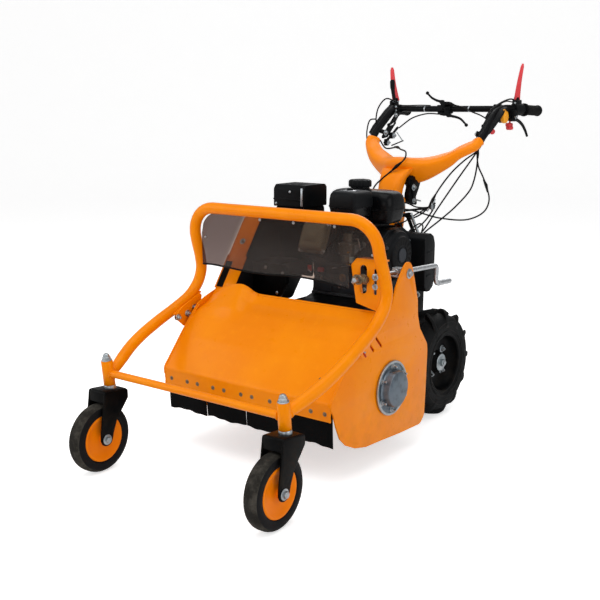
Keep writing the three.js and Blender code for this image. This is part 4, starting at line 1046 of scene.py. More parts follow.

# the rotor hood and the belt bulkhead below wear the darker inner orange: painted shade
with Piece("deck_rotor_hood", ORANGE_SHADED_INNER, smooth=40) as part:
    part.sheet([(-582, 478), (-587, 470), (-587, 404), (-560, 399), (-400, 400), (-352, 384),
                (-306, 326), (-300, 300), (-300, 112)], 3.6, -235.6, SKIN_X, r=12)
with Piece("deck_belt_bulkhead", ORANGE_SHADED_INNER, smooth=30) as part:
    part.plate(rounded([(-800, 258), (-768, 294), (-728, 343), (-681, 396), (-648, 428),
                        (-611, 450), (-589, 470), (-589, 402), (-560, 398.6), (-402, 396),
                        (-354, 380), (-309, 325), (-303, 300), (-303, 200), (-470, 176),
                        (-640, 184), (-742, 232)], 4),
               -240, -236, bevel=0.6, holes=[circle(ROTOR_Y, ROTOR_Z, 46, 40)])
# closing sheet under the raised bulge
with Piece("deck_bulge_end", ORANGE, smooth=40) as part:
    part.plate([(-312, 440)] + [(x, 483 + bulge(x)) for x in range(-312, -112, 5)]
               + [(-112, 440)], -588.5, -585.5, "Y", bevel=0.5)
# stiffening channel behind the front edge, in the darker inner orange: painted shade
with Piece("deck_front_channel", ORANGE_SHADED_INNER, smooth=35) as part:
    part.sheet([(-780, 262), (-780, 250), (-762, 250), (-762, 286)], 3, -317, 317,
               bevel=0.5, r=3)
# heads in the darkened bronze: partly painted shade
with Piece("deck_front_bolts", BOLT_BRONZE_SHADED) as part:
    for x in (-290, -223, -180, -116, -72, -5, 37, 105, 148, 206, 252, 300):
        part.button((x, -807.0, 230), (0, -1, 0.02), 4.8, 3.2)
        part.lathe([(0, 0), (6.6, 0), (6.6, 0.7), (6.1, 1.0), (0, 1.0)],
                   (x, -806.7, 230), (0, -1, 0.02), 20)
    part.button((253, -762.6, 312), (0, -0.765, 0.644), 5, 3)
with Piece("flap_clamp_bar", FRAME_BLACK) as part:
    part.box((-315, -800.5, 216), (315, -796.2, 250), 1.0)
# welds where the cover meets the side plates
with Piece("deck_weld_beads", ORANGE, smooth=60) as part:
    seam = [q for q in SKIN if q.y < 452]
    for sign in (-1, 1):
        line = []
        for a, b in zip(seam, seam[1:]):
            steps = max(1, int((b - a).length / 4))
            for i in range(steps):
                q, d = a.lerp(b, i / steps), (b - a).normalized()
                ripple = 0.6 * math.sin(len(line) * 1.9)
                line.append(Vec((sign * 317.0, q.x + d.y * 1.0, q.y - d.x * 1.0 + ripple)))
        part.tube(line, [2.6 + 0.5 * math.sin(i * 1.3) for i in range(len(line))], 8)


# ------------------------------------------------------------------ rotor, bearings, flails
ROTOR = Vec((0, ROTOR_Y, ROTOR_Z))
LUGS = [(x, i * math.pi / 2 + 0.35) for i, x in enumerate((-170, -50, 70, 190))]  # (x, angle)
PIN_R = 74  # from the rotor's axis to the flail pins


def bearing(sign, side):
    centre, axis = Vec((sign * 323.2, ROTOR_Y, ROTOR_Z)), (sign, 0, 0)
    with Piece("rotor_bearing_flange_" + side, FLANGE, ZINC, smooth=32,
               replaces="rotor_bearing_" + side) as part:
        part.lathe([(22, 0.6), (76, 0.6), (76, 5.0), (73.5, 5.2), (62, 5.0), (58.5, 7.2),
                    (56.5, 13), (55.4, 24), (53.6, 28.4), (49, 30.6), (30, 31.4), (8, 31.8),
                    (0, 31.8), (0, 30.8), (22, 29.5)], centre, axis, 72)
        # light turned outer rim
        part.use(ZINC).lathe([(76, 0.6), (82.5, 0.6), (84, 2.0), (84, 6.4), (82.4, 8),
                              (77.4, 8), (76, 6.6)], centre, axis, 72)
    with Piece("rotor_bearing_studs_" + side, ZINC, STEEL) as part:
        for i in range(6):
            a = math.radians(30 + 60 * i)
            part.hexnut(centre + Vec((sign * 5.2, 67 * math.cos(a), 67 * math.sin(a))), axis,
                        10.5, 5.5, end=9.5, bolt_r=3.2, phase=0.3 * i)


for sign, side in SIDES:
    bearing(sign, side)

with Piece("rotor_tube", BLACK, body="rotor", smooth=35, replaces="flail_rotor") as part:
    part.lathe([(20, -226), (42.5, -226), (44, -224.5), (44, 304.5), (42.5, 306), (20, 306)],
               ROTOR, LEFT, 56)
    for x, angle in LUGS:
        ca, sa = math.cos(angle), math.sin(angle)

        def around(out, across):
            return ROTOR_Y + out * ca - across * sa, ROTOR_Z + out * sa + across * ca

        ear = rounded([around(*p) for p in ((36, -22), (36, 22), (78, 13), (87.5, 6),
                                            (87.5, -6), (78, -13))], 5)
        for e in (-1, 1):
            part.plate(ear, x + e * 13 - 3, x + e * 13 + 3, bevel=0.7,
                       holes=[circle(*around(PIN_R, 0), 6.2, 16)])


def pin_centre(x, angle):
    return ROTOR + Vec((x, PIN_R * math.cos(angle), PIN_R * math.sin(angle)))


with Piece("rotor_shaft_and_pins", STEEL, body="rotor", smooth=32) as part:
    part.lathe([(0, -352), (18.8, -352), (20, -350.8), (20, 348.8), (18.8, 350), (0, 350)],
               ROTOR, LEFT, 32)
    part.hexnut(ROTOR + Vec((350, 0, 0)), LEFT, 17, 3.8, washer=False, end=0)
    part.hexnut(ROTOR - Vec((352, 0, 0)), RIGHT, 17, 3.8, washer=False, end=0)
    for x, angle in LUGS:
        pin = pin_centre(x, angle)
        part.rod(pin + Vec((-18, 0, 0)), pin + Vec((18, 0, 0)), 6, 20, cap=1)
        part.hexnut(pin + Vec((16.4, 0, 0)), LEFT, 13, 5, washer=False, end=0)
        part.hexnut(pin - Vec((16.4, 0, 0)), RIGHT, 13, 5, washer=False, end=0)

# Flail leg stations: (distance from the pin, sideways spread, half width)
FLAIL_LEG = ((9.5, 1.2, 9), (20, 1.4, 11), (36, 1.8, 12.5), (48, 3.2, 15), (60, 5.0, 19),
             (69.5, 6.3, 21.5))
LEG_SECTION = ((-1, -0.6), (-0.9, -1), (0.9, -1), (1, -0.6), (1, 0.6), (0.9, 1), (-0.9, 1),
               (-1, 0.6))
for i, (x, angle) in enumerate(LUGS):
    name = "flail_%d" % (i + 1)
    pin = pin_centre(x, angle)
    out = Vec((0, math.cos(angle), math.sin(angle)))
    across = Vec((0, -math.sin(angle), math.cos(angle)))
    with Piece("flail_blade_%d" % (i + 1), BLADE, body=name, smooth=40, replaces=name) as part:
        # hanger eye
        part.lathe([(6.9, -8.5), (12, -8.5), (12.6, -7.9), (12.6, 7.9), (12, 8.5), (6.9, 8.5)],
                   pin, LEFT, 28)
        # two bent legs that spread like a Y
        for e in (-1, 1):
            loops = []
            for reach, spread, wide in FLAIL_LEG:
                centre = pin + out * reach + Vec((e * spread, 0, 0)) * 0.9
                loops.append([centre + across * (wide * u) + Vec((e * 2.2 * v, 0, 0))
                              for u, v in LEG_SECTION])
            part.loft(loops)


# ------------------------------------------------------------------ belt drive
BELT_X = -278


def pulley_profile(r, bore):
    return [(bore, -15), (bore + 14, -15), (bore + 15, -12), (bore + 16, -4), (r - 17, -4),
            (r - 15, -8), (r - 12, -12), (r - 1.2, -13), (r, -12), (r, -9.6), (r - 11.4, -5.4),
            (r - 11.4, 5.4), (r, 9.6), (r, 12), (r - 1.2, 13), (r - 12, 12), (r - 15, 8),
            (r - 17, 4), (bore + 16, 4), (bore + 15, 12), (bore + 14, 15), (bore, 15)]


with Piece("rotor_belt_pulley", DARKCAST, body="rotor", slot="cast_iron", smooth=32,
           replaces="rotor_pulley") as part:
    part.lathe(pulley_profile(66, 20.4), (BELT_X, ROTOR_Y, ROTOR_Z), LEFT, 56)
with Piece("engine_belt_pulley", DARKCAST, body="engine_shaft", slot="cast_iron", smooth=32,
           replaces="engine_pulley") as part:
    part.lathe(pulley_profile(55, 12.2), (BELT_X, SHAFT_Y, SHAFT_Z), LEFT, 56)
    part.use(STEEL).rod((-292, SHAFT_Y, SHAFT_Z), (-136, SHAFT_Y, SHAFT_Z), 12, 28, cap=1)
    part.use(ZINC).hexnut((-292, SHAFT_Y, SHAFT_Z), RIGHT, 17, 7, end=0)


def belt_loop(rotor_r, engine_r):
    """Belt line in (y, z) round both pulleys: 40 steps on each, 60 on each run."""
    a, b = Vec((ROTOR_Y, ROTOR_Z)), Vec((SHAFT_Y, SHAFT_Z))
    base = math.atan2(b.y - a.y, b.x - a.x)
    off = math.acos((rotor_r - engine_r) / (b - a).length)

    def on_circle(centre, r, t):
        return centre.x + r * math.cos(t), centre.y + r * math.sin(t)

    def run(start, end):
        return [tuple(Vec(start).lerp(Vec(end), i / 60)) for i in range(1, 60)]

    round_rotor = [on_circle(a, rotor_r, base + off + (2 * math.pi - 2 * off) * i / 40)
                   for i in range(41)]
    round_engine = [on_circle(b, engine_r, base - off + 2 * off * i / 40) for i in range(41)]
    return (round_rotor + run(round_rotor[-1], round_engine[0])
            + round_engine + run(round_engine[-1], round_rotor[0]))


with Piece("v_belt", BELT, smooth=30, replaces="drive_belt") as part:
    outer, inner = belt_loop(65, 54), belt_loop(56.2, 45.2)
    verts, faces = [], []
    for k, ((y_out, z_out), (y_in, z_in)) in enumerate(zip(outer, inner)):
        # moulded cogs on the inner face
        cog = 1.0 if (k // 2) % 2 else 0.0
        y_in, z_in = lerp(y_in, y_out, 0.14 * cog), lerp(z_in, z_out, 0.14 * cog)
        verts += [(BELT_X - 5.4, y_out, z_out), (BELT_X + 5.4, y_out, z_out),
                  (BELT_X + 3.6, y_in, z_in), (BELT_X - 3.6, y_in, z_in)]
        a, b = 4 * k, 4 * ((k + 1) % len(outer))
        for i in range(4):
            j = (i + 1) % 4
            faces.append((a + i, a + j, b + j, b + i))
    part.add(verts, faces)

GUARD = [(-580, 462), (-560, 500), (-424, 694), (-400, 712), (-196, 694), (-140, 650),
         (-126, 590), (-150, 530), (-232, 430), (-250, 405), (-300, 405), (-566, 452)]  # (y, z)
GUARD_OUTLINE = rounded(GUARD, 24, 7)
with Piece("belt_guard_shell", ORANGE, replaces="belt_guard") as part:
    part.plate(GUARD_OUTLINE, -312, -308.4, bevel=1.2, res=2)
    wall = bent([(y, z, 0) for y, z in [(-582, 468)] + GUARD[1:9]], 24, 7)
    part.sheet(wall, 3.2, -310, -240.6, bevel=0.7)
# black sheet on the guard's inner side, where that side lies in shade: painted shade
with Piece("belt_guard_inner_shade_plate", SATIN, smooth=30) as part:
    part.plate(GUARD_OUTLINE, -240.2, -237.2, holes=[circle(SHAFT_Y, SHAFT_Z, 22, 32)])
with Piece("belt_guard_bolts", ZINC) as part:
    # one stands on the sloping front wall, the rest on the right face
    slope_normal = Vec((0, -0.819, 0.574))
    part.hexnut(Vec((-276, -472, 500 + 194 * (88 / 136))) + slope_normal * 0.4, slope_normal,
                12, 6, end=2)
    part.hexnuts([(-312, y, z) for y, z in ((-540, 470), (-420, 664), (-200, 660), (-160, 560),
                                            (-270, 430), (-440, 470))], RIGHT, 10, 5, end=1.5)
with Piece("belt_guard_front_strap", ORANGE, smooth=36) as part:
    for x0, x1 in ((-313.5, -308), (-280, -231)):
        part.sheet([(-576, 483), (-506, 583)], 3, x0, x1, bevel=0.7)
with Piece("belt_guard_vent", FRAME_BLACK, smooth=36) as part:
    part.sheet([(-573, 487), (-519, 564)], 2.2, -307.4, -280.6, bevel=0.5)


# ------------------------------------------------------------------ front bumper frame
KING_X = 331  # half the kingpin spacing
CROSS_Y, CROSS_Z = -1028.4, 291
CORNER_R, TOP_Z = 88.0, 751.0  # the hoop's upper corners and top

# Left side of the hoop from the kingpin up to the start of the corner
HOOP_SIDE = [(331, -1026, 290), (331, -1003, 299), (345, -958, 320), (358, -913, 342),
             (366, -856, 368), (367, -783, 399), (363, -705, 431), (359.5, -650, 458),
             (359, -622, 480), (359, -599, 508), (358, -588, 545), (355.5, -596, 589),
             (353, -611, 632)]

with Piece("front_hoop_tube", ORANGE, body="front_frame", slot="frame_paint", smooth=60,
           replaces="front_frame") as part:
    corner = [Vec((351 - CORNER_R * (1 - math.cos(a)), -620 - 11 * math.sin(a),
                   TOP_Z - CORNER_R + CORNER_R * math.sin(a)))
              for a in [i * math.pi / 16 for i in range(9)]]
    left = spline(HOOP_SIDE + [tuple(corner[0])], 9)[:-1] + corner
    right = [Vec((-p.x, p.y, p.z)) for p in reversed(left)]
    hoop = left + [corner[-1].lerp(right[0], i / 24) for i in range(1, 24)] + right
    last = len(hoop) - 1
    # the ends taper over nine points
    part.tube(hoop, [18 - 3.4 * max(0.0, 1 - min(i, last - i) / 9) for i in range(last + 1)],
              32)

RAKE = math.radians(5.7)
KING_DIR = Vec((0, -math.sin(RAKE), math.cos(RAKE)))


def kingpin(sign, z):
    """Point of the raked kingpin axis at height z."""
    return Vec((sign * KING_X, CROSS_Y, 292)) + KING_DIR * ((z - 292) / math.cos(RAKE))


with Piece("front_cross_tube", ORANGE, body="front_frame", slot="frame_paint",
           smooth=60) as part:
    part.tube([(x, CROSS_Y, CROSS_Z) for x in (*range(-KING_X, KING_X + 1, 27), KING_X)],
              11, 28)
    # weld fillets around the joints
    for sign in (-1, 1):
        part.tube([(sign * (KING_X - 18), CROSS_Y + 12 * math.cos(a), CROSS_Z + 12 * math.sin(a))
                   for a in [i * math.pi / 18 for i in range(36)]], 2.4, 8, closed=True)
for sign, side in SIDES:
    with Piece("kingpin_sleeve_" + side, ORANGE, body="front_frame", slot="frame_paint",
               smooth=45) as part:
        length = 75 / math.cos(RAKE)
        part.lathe([(12.6, 0), (16.2, 0), (17.4, 1.2), (17.4, length - 1.2), (16.2, length),
                    (12.6, length)], kingpin(sign, 255), KING_DIR, 40)
        # weld between hoop end and sleeve
        hoop_dir = (Vec(HOOP_SIDE[1]) - Vec(HOOP_SIDE[0])).normalized()
        centre, u = Vec((sign * KING_X, -1010, 296.2)), Vec(LEFT)
        v = Vec((0, hoop_dir.y, hoop_dir.z)).cross(u).normalized()
        part.tube([centre + u * (14.6 * math.cos(a)) + v * (14.6 * math.sin(a))
                   + Vec((0, -3.5 + 2.5 * math.cos(2 * a), 0))
                   for a in [i * math.pi / 20 for i in range(40)]], 2.7, 8, closed=True)

# Pivot brackets under the hoop: outline, corner radii, top flange line, its radius side x range
BRACKETS = {
    "left": ([(-704, 428), (-696, 386), (-682, 369), (-652, 369), (-641, 388), (-634, 462),
              (-650, 454), (-690, 432)], [8, 10, 10, 10, 10, 4, 4, 8], (334, 339.4),
             [(-700, 430), (-652, 452), (-637, 462)], (338, 356)),
    "right": ([(-738, 412), (-724, 392), (-700, 372), (-668, 362), (-644, 366), (-626, 392),
               (-612, 470), (-640, 462), (-700, 438)], 14, (-339, -334),
              [(-738, 416), (-700, 434), (-640, 458), (-612, 472)], (-356, -339)),
}
for sign, side in SIDES:
    outline, radii, plate_x, flange, flange_x = BRACKETS[side]
    with Piece("frame_pivot_bracket_" + side, ORANGE, body="front_frame", slot="frame_paint",
               smooth=35) as part:
        part.plate(rounded(outline, radii, 6), *plate_x, bevel=1.0,
                   holes=[circle(PIVOT_Y, PIVOT_Z, 8.4, 24)], res=2)
        part.sheet(flange, 4, *flange_x, r=10)
    with Piece("frame_pivot_bolts_" + side, ZINC, ORANGE, BLACK, body="front_frame") as part:
        part.rod((sign * 312, PIVOT_Y, PIVOT_Z), (sign * 339.6, PIVOT_Y, PIVOT_Z), 8, cap=0.8)
        part.hexnut((sign * 313, PIVOT_Y, PIVOT_Z), (-sign, 0, 0), 17, 8, end=1)
        if sign > 0:
            part.use(ORANGE).button((339.2, PIVOT_Y + 2, PIVOT_Z + 6), LEFT, 9, 4, socket=False)
        else:
            part.hexnut((-339, PIVOT_Y, PIVOT_Z), RIGHT, 17, 8, end=2.5)
            for y, z in ((-726, 405), (-684, 411), (-651, 425)):
                part.hexnut((-334, y, z), LEFT, 12, 6.5, end=6)
                part.hexnut((-339, y, z), RIGHT, 12, 5.5, end=0.5)
# a slot drawn on the bracket's face, its dark red standing in for the shade in an opening: painted
# shade
with Piece("frame_pivot_slit_shade", SLIT_SHADE, body="front_frame", slot="frame_paint") as part:
    part.plate(slot(-669, 376.5, 22, 6.5, COVER_BEND, 6), 339.0, 340.2, bevel=0.3)

# folded plate with two upright slots
with Piece("adjuster_bracket", ORANGE, body="front_frame", slot="frame_paint",
           smooth=35) as part:
    face = rounded([(243, 617), (262, 638), (350, 638), (352, 498), (330, 490), (262, 506)],
                   [6, 8, 3, 3, 8, 6], 5)
    upright = math.radians(90)
    part.plate(face, -600, -595, "Y", bevel=1.0, res=2,
               holes=[slot(286, 578, 84, 24, upright), slot(326.5, 574, 76, 10, upright)])
    part.sheet([(352, 637), (264, 637), (245, 616.5), (263, 508), (290, 500)], 4.5, -599, -566,
               "Y", bevel=0.9, r=6, side=-1)
with Piece("adjuster_bracket_bolts", ZINC, body="front_frame") as part:
    part.hexnut((326.5, -600, 588), FRONT, 11, 5, end=5)
    part.hexnut((326.5, -600, 560), FRONT, 10, 5, end=3)
    part.hexnut((255, -598, 566), (-0.99, -0.1, -0.1), 10, 5, end=3)

# Shield: a thin smoked sheet, slightly bowed, between the hoop's top and its sides.
# Lower edge as (x, z), left of which it steps up over the adjuster bracket.
SHIELD_LOW = [(-332, 563), (-300, 564.5), (-274, 564), (-235, 561.5), (-193, 559), (-155, 556.5),
              (-115, 555), (-75, 555.2), (-35, 557), (15, 559.8), (62, 561), (100, 559.6),
              (136, 557), (175, 553.4), (208, 550), (237, 547), (300, 546), (334, 548)]
SHIELD_TOP = 733.0
SHIELD_ROWS = 14


def shield_high(x):
    """Upper limit of the sheet under the top tube at x."""
    beyond = abs(x) - 263
    if beyond <= 0:
        return SHIELD_TOP
    if abs(x) > 333:
        return 664
    inner_r = 72.0
    beyond = min(beyond, inner_r)
    return min(TOP_Z - CORNER_R + math.sqrt(max(inner_r * inner_r - beyond * beyond, 0)),
               SHIELD_TOP)


def shield_low(x):
    return interp(x, SHIELD_LOW) if x < 240 else 641.0


def shield_y(x, z, share=0):
    """Front face of the bowed sheet; share is the way up from its lower edge."""
    return (-605 - 3.2 * math.sin((z - 545) / 190 * 2.4)
            + 1.2 * math.sin(x * 0.011 + 1.0) * (1 - share))


SHIELD_X = ([-333.5 + i * (573.3 / 78) for i in range(79)]
            + [240.2 + i * (93.3 / 13) for i in range(14)])
with Piece("shield_sheet", SMOKE, body="front_frame", smooth=40, replaces="shield") as part:
    verts = []
    for x in SHIELD_X:
        for j in range(SHIELD_ROWS + 1):
            share = j / SHIELD_ROWS
            z = lerp(shield_low(x), shield_high(x), share)
            y = shield_y(x, z, share)
            verts += [(x, y, z), (x, y + 2.6, z)]
    part.slab(verts, SHIELD_ROWS + 1)
with Piece("shield_edge_trim", GRIP, body="front_frame", slot="flap_rubber",
           smooth=60) as part:
    part.tube([(x, shield_y(x, shield_low(x)) + 1.3, shield_low(x))
               for x in SHIELD_X if x <= 239.7], 3.1, 10, cap=1)
with Piece("shield_screws", ZINC, body="front_frame") as part:
    part.buttons([(x, -608.2, 724) for x in (-90, 40, 190)], FRONT, 5.0, 3)
    part.buttons([(x, -609, 652) for x in (-318, 322)], FRONT, 4.2, 3)


# ------------------------------------------------------------------ casters
CASTER_Y, CASTER_Z = -1073.0, 103.0
# Fork leg as (y, z), with its corner radii
FORK_LEG = [(-1076, 247), (-986, 239), (-985, 212), (-1006, 186), (-1030, 158), (-1046, 120),
            (-1051, 100), (-1057, 88), (-1073, 81.5), (-1089, 88), (-1095, 102), (-1094, 124),
            (-1086, 180), (-1079, 222)]
FORK_RADII = [6, 8, 12, 20, 20, 14, 12, 14, 20, 14, 12, 14, 20, 14]
# Right half of the disc's (radius, x) and of the tyre's
DISC_HALF = [(7, -28), (14, -28), (15, -27), (15.4, -17.5), (18, -15.5), (30, -14.6),
             (46, -15.4), (56, -18.2), (63, -21.6), (67, -22), (69.6, -20.4), (69.9, -17)]
CASTER_TYRE_HALF = [(70.2, -19), (71, -21.6), (74, -23), (80, -23.6), (88, -23.4), (94.5, -21.6),
                    (99.5, -17.4), (102, -12), (103, -6)]


def mirrored(half, middle=()):
    """A (radius, height) profile and its mirror image about height 0."""
    return [*half, *middle, *((r, -h) for r, h in reversed(half))]


def tread_wobble(angle, r, h):
    return 1 + 0.0022 * math.sin(angle * 47 + h * 0.5) * (1 if r > 99 else 0)


def caster(sign, side):
    x = sign * KING_X
    hub = Vec((x, CASTER_Y, CASTER_Z))
    body, wheel = "caster_" + side, "caster_wheel_" + side
    with Piece("caster_fork_plates_" + side, BLACK, body=body, smooth=36,
               replaces="caster_fork_" + side) as part:
        for e in (1, -1):
            part.plate(rounded(FORK_LEG, FORK_RADII, 6), x + e * 30, x + e * 35, bevel=1.0,
                       holes=[circle(CASTER_Y, CASTER_Z, 6.6, 20)], res=2)
        # crown: folded top with rolled front and rear edges
        part.sheet([(-1078.5, 214), (-1076.5, 249), (-987, 241), (-985.5, 208)], 5,
                   x - 32, x + 32, bevel=1.0, r=9)
    with Piece("caster_kingpin_" + side, ZINC, body=body, smooth=34) as part:
        part.lathe([(0, -3), (17, -3), (18, -2), (18, 8), (16.5, 10.6), (0, 10.6)],
                   kingpin(sign, 244), KING_DIR, 36)
        part.rod(kingpin(sign, 246), kingpin(sign, 341), 11.2, 32, cap=1)
        part.lathe([(0, 0), (15.6, 0), (15.6, 2), (14.8, 2.8), (0, 2.8)],
                   kingpin(sign, 330.6), KING_DIR, 36)
        part.hexnut(kingpin(sign, 333), KING_DIR, 22, 9, washer=False, end=0, dome=True)
    with Piece("caster_axle_bolt_" + side, ZINC, body=body, smooth=34,
               replaces="caster_axle_" + side) as part:
        part.rod((x - 44, CASTER_Y, CASTER_Z), (x + 44, CASTER_Y, CASTER_Z), 6, cap=1)
        for e in (1, -1):
            part.hexnut((x + e * 35.3, CASTER_Y, CASTER_Z), (e, 0, 0), 17, 8, end=1, bolt_r=6)
    with Piece("caster_wheel_disc_" + side, DISC, body=wheel, smooth=40,
               replaces="caster_rim_" + side) as part:
        part.lathe(mirrored(DISC_HALF), hub, LEFT, 72)
    with Piece("caster_wheel_bush_" + side, STEEL, body=wheel) as part:
        part.lathe(mirrored([(6.6, -29.2), (10.5, -29.2), (11, -28.6)]), hub, LEFT, 32)
    with Piece("caster_wheel_tyre_" + side, TREAD, SIDEWALL, body=wheel, smooth=50,
               replaces="caster_tyre_" + side) as part:
        for face in part.lathe(mirrored(CASTER_TYRE_HALF, [(103, 0)]), hub, LEFT, 96,
                               wobble=tread_wobble):
            middle = face.calc_center_median() / MM - SHIFT - hub
            if math.hypot(middle.y, middle.z) < 96.5:
                face.material_index = 1


for sign, side in SIDES:
    caster(sign, side)


# ------------------------------------------------------------------ height adjuster
# sideways from the rod, in the plane x = constant
ROD_PERP = Vec((0, ROD_DIR.z, -ROD_DIR.y)).normalized()
with Piece("adjuster_trunnion_block", ZINC, body="trunnion", smooth=34,
           replaces="adjuster_trunnion") as part:
    y, z = TRUNNION.y, TRUNNION.z
    across = Vec(LEFT)
    part.prism([(-16, -16), (16, -16), (16, 16), (-16, 16)], -14, 14, r=2.5, at=(286, y, z),
               turn=Matrix((across, across.cross(ROD_DIR), -ROD_DIR)).transposed())
    part.rod((300, y, z), (333, y, z), 8, 28, cap=1)
    part.lathe([(0, 0), (13, 0), (13, 2), (12.4, 2.5), (0, 2.5)], (313.5, y, z), LEFT, 28)
    part.hexnut((323.6, y, z), LEFT, 17, 7, end=3, bolt_r=6)

CRANK_ELBOW = rod_at(-166)
CRANK_ARM = CRANK_ELBOW + ROD_PERP * 60
with Piece("adjuster_crank_rod", STEEL, body="crank", smooth=45, replaces="crank_rod") as part:
    part.tube(bent([rod_at(-480), CRANK_ELBOW, CRANK_ARM, CRANK_ARM + ROD_DIR * 96], 14, 8),
              8, 24, cap=2)
    # a pinned collar on each side of the trunnion
    for a, b in ((-24, -15.8), (15.8, 24)):
        part.rod(rod_at(TRUNNION_Y + a), rod_at(TRUNNION_Y + b), 13, 28, cap=1)
        middle = rod_at(TRUNNION_Y + (a + b) / 2)
        part.rod(middle, middle + Vec((14.2, 0, 0)), 2.2, 10)
with Piece("adjuster_thread", ZINC, body="crank", smooth=60) as part:
    sides, steps, pitch = 20, 172, 3.0
    start = rod_at(-650)
    length = (rod_at(-479) - start).length
    u = Vec(LEFT)
    v = ROD_DIR.cross(u)
    verts = []
    for j in range(steps + 1):
        h = length * j / steps
        for i in range(sides):
            a = 2 * math.pi * i / sides
            r = 7.1 + 0.85 * abs(2 * ((h / pitch - a / (2 * math.pi)) % 1.0) - 1)
            if j < 2:
                r = min(r, 6.2 + 0.6 * j)
            verts.append(start + ROD_DIR * h + (u * math.cos(a) + v * math.sin(a)) * r)
    part.loft([verts[j * sides:(j + 1) * sides] for j in range(steps + 1)])
with Piece("crank_grip_sleeve", STEEL, body="crank", smooth=50) as part:
    start, end = CRANK_ARM + ROD_DIR * 16, CRANK_ARM + ROD_DIR * 95
    length = (end - start).length
    swell = [(9.3 + 0.3 * math.sin(i / 12 * math.pi), length * i / 12) for i in range(1, 12)]
    part.lathe([(0, 0), (8.4, 0), (9.2, 1.2), *swell, (9.2, length - 1.2), (8.4, length),
                (0, length)], start, ROD_DIR, 28)
# the nut's body is in the darkened bronze: partly painted shade
with Piece("adjuster_cross_nut", BOLT_BRONZE_SHADED, ZINC, body="nut_block", smooth=34,
           replaces="adjuster_nut") as part:
    # heights are x, across the two cheeks of the bracket
    part.lathe([(0, 262), (8, 262), (9, 263), (9, 266), (12, 266.4), (12.6, 267), (12.6, 276),
                (12.6, 296), (12.6, 305), (12, 305.6), (9, 306), (9, 309), (8, 310), (0, 310)],
               (0, NUT.y, NUT.z), LEFT, 36)
    for collar in ([(10.2, -14.6), (13.4, -14.6), (14.4, -13.6), (14.4, -11), (10.2, -11)],
                   [(10.2, 11), (14.4, 11), (14.4, 13.6), (13.4, 14.6), (10.2, 14.6)]):
        part.lathe(collar, (286, NUT.y, NUT.z), ROD_DIR, 28)

# ------------------------------------------------------------------ rubber flaps
for i, (x0, x1) in enumerate([(-316, -160), (-158, -2), (2, 158), (160, 316)]):
    columns, rows = 20, 12
    with Piece("debris_flap_%d" % (i + 1), FLAP, body="flap_%d" % (i + 1), smooth=50, bevel=0.8,
               replaces="rubber_flap_%d" % (i + 1)) as part:
        verts = []
        for column in range(columns + 1):
            x = lerp(x0 + 0.6, x1 - 0.6, column / columns)
            z_low = 128 + 2.0 * math.sin(x * 0.045 + i) + 1.2 * math.sin(x * 0.13)
            wave = math.sin((x - x0) / (x1 - x0) * math.pi * 2 + i * 1.7)
            for row in range(rows + 1):
                t = row / rows
                z = lerp(247, z_low, t)
                y = (lerp(-793.2, -788.6, t) - 2.6 * math.sin(t * math.pi * 0.9) * 0.5
                     + 1.5 * t * wave)
                verts += [(x, y, z), (x, y + 4.6, z)]
        part.slab(verts, rows + 1)


# ------------------------------------------------------------------ drive wheels
WHEEL_X, WHEEL_Y, WHEEL_Z = 190.0, 4.0, 187.0
TYRE_HALF = [(104, -47), (106, -50), (112, -52), (126, -54.6), (138, -55), (150, -53.4),
             (160, -48), (166, -38), (169, -22)]  # (radius, x)
# Rim as (radius, outward height)
RIM = [(14, -40), (32, -40), (34, -38), (34, 4), (38, 7), (66, 7), (74, 3), (86, -6), (92, -18),
       (94.5, -40), (97, -47), (101, -50), (105.6, -50), (106.6, -48), (104, -44), (101, -42),
       (99, -36), (99, 36), (101, 42), (104, 44), (106.6, 48), (105.6, 50), (101, 50), (97, 47),
       (95, 38), (91, 24), (84, 16), (72, 13), (42, 13), (38, 16), (34, 28), (32, 30), (14, 30)]


def lug_loops(hub, e, start_angle):
    """One curved, tapered chevron bar from the middle over the shoulder on side e."""
    loops = []
    for t in (0.0, 0.12, 0.3, 0.5, 0.7, 0.85, 0.95, 1.0):
        x = e * lerp(-6, 56, t)
        angle = start_angle + 0.30 * t ** 1.15
        crown = 170 - 0.0026 * x * x - (0 if abs(x) < 40 else (abs(x) - 40) ** 1.7 * 0.20)
        top = min(WHEEL_Z, crown + 17.2) - (max(abs(x) - 44, 0)) ** 1.5 * 0.25
        base = crown - 4
        if t > 0.9:
            base -= (t - 0.9) * 60
        if t == 0:
            top -= 3.0
        if t == 1.0:
            top -= 4.0
        top_w, base_w = lerp(6.8, 8.2, t), lerp(10.5, 12.5, t)
        half = [(base, base_w), (lerp(base, top, 0.55), lerp(base_w, top_w, 0.7)),
                (top - 1.6, top_w), (top, top_w - 1.8)]  # (radius, half width)
        section = [(r, -w) for r, w in half] + half[::-1]
        loops.append([hub + Vec((x, r * math.cos(angle + w / r), r * math.sin(angle + w / r)))
                      for r, w in section])
    return loops


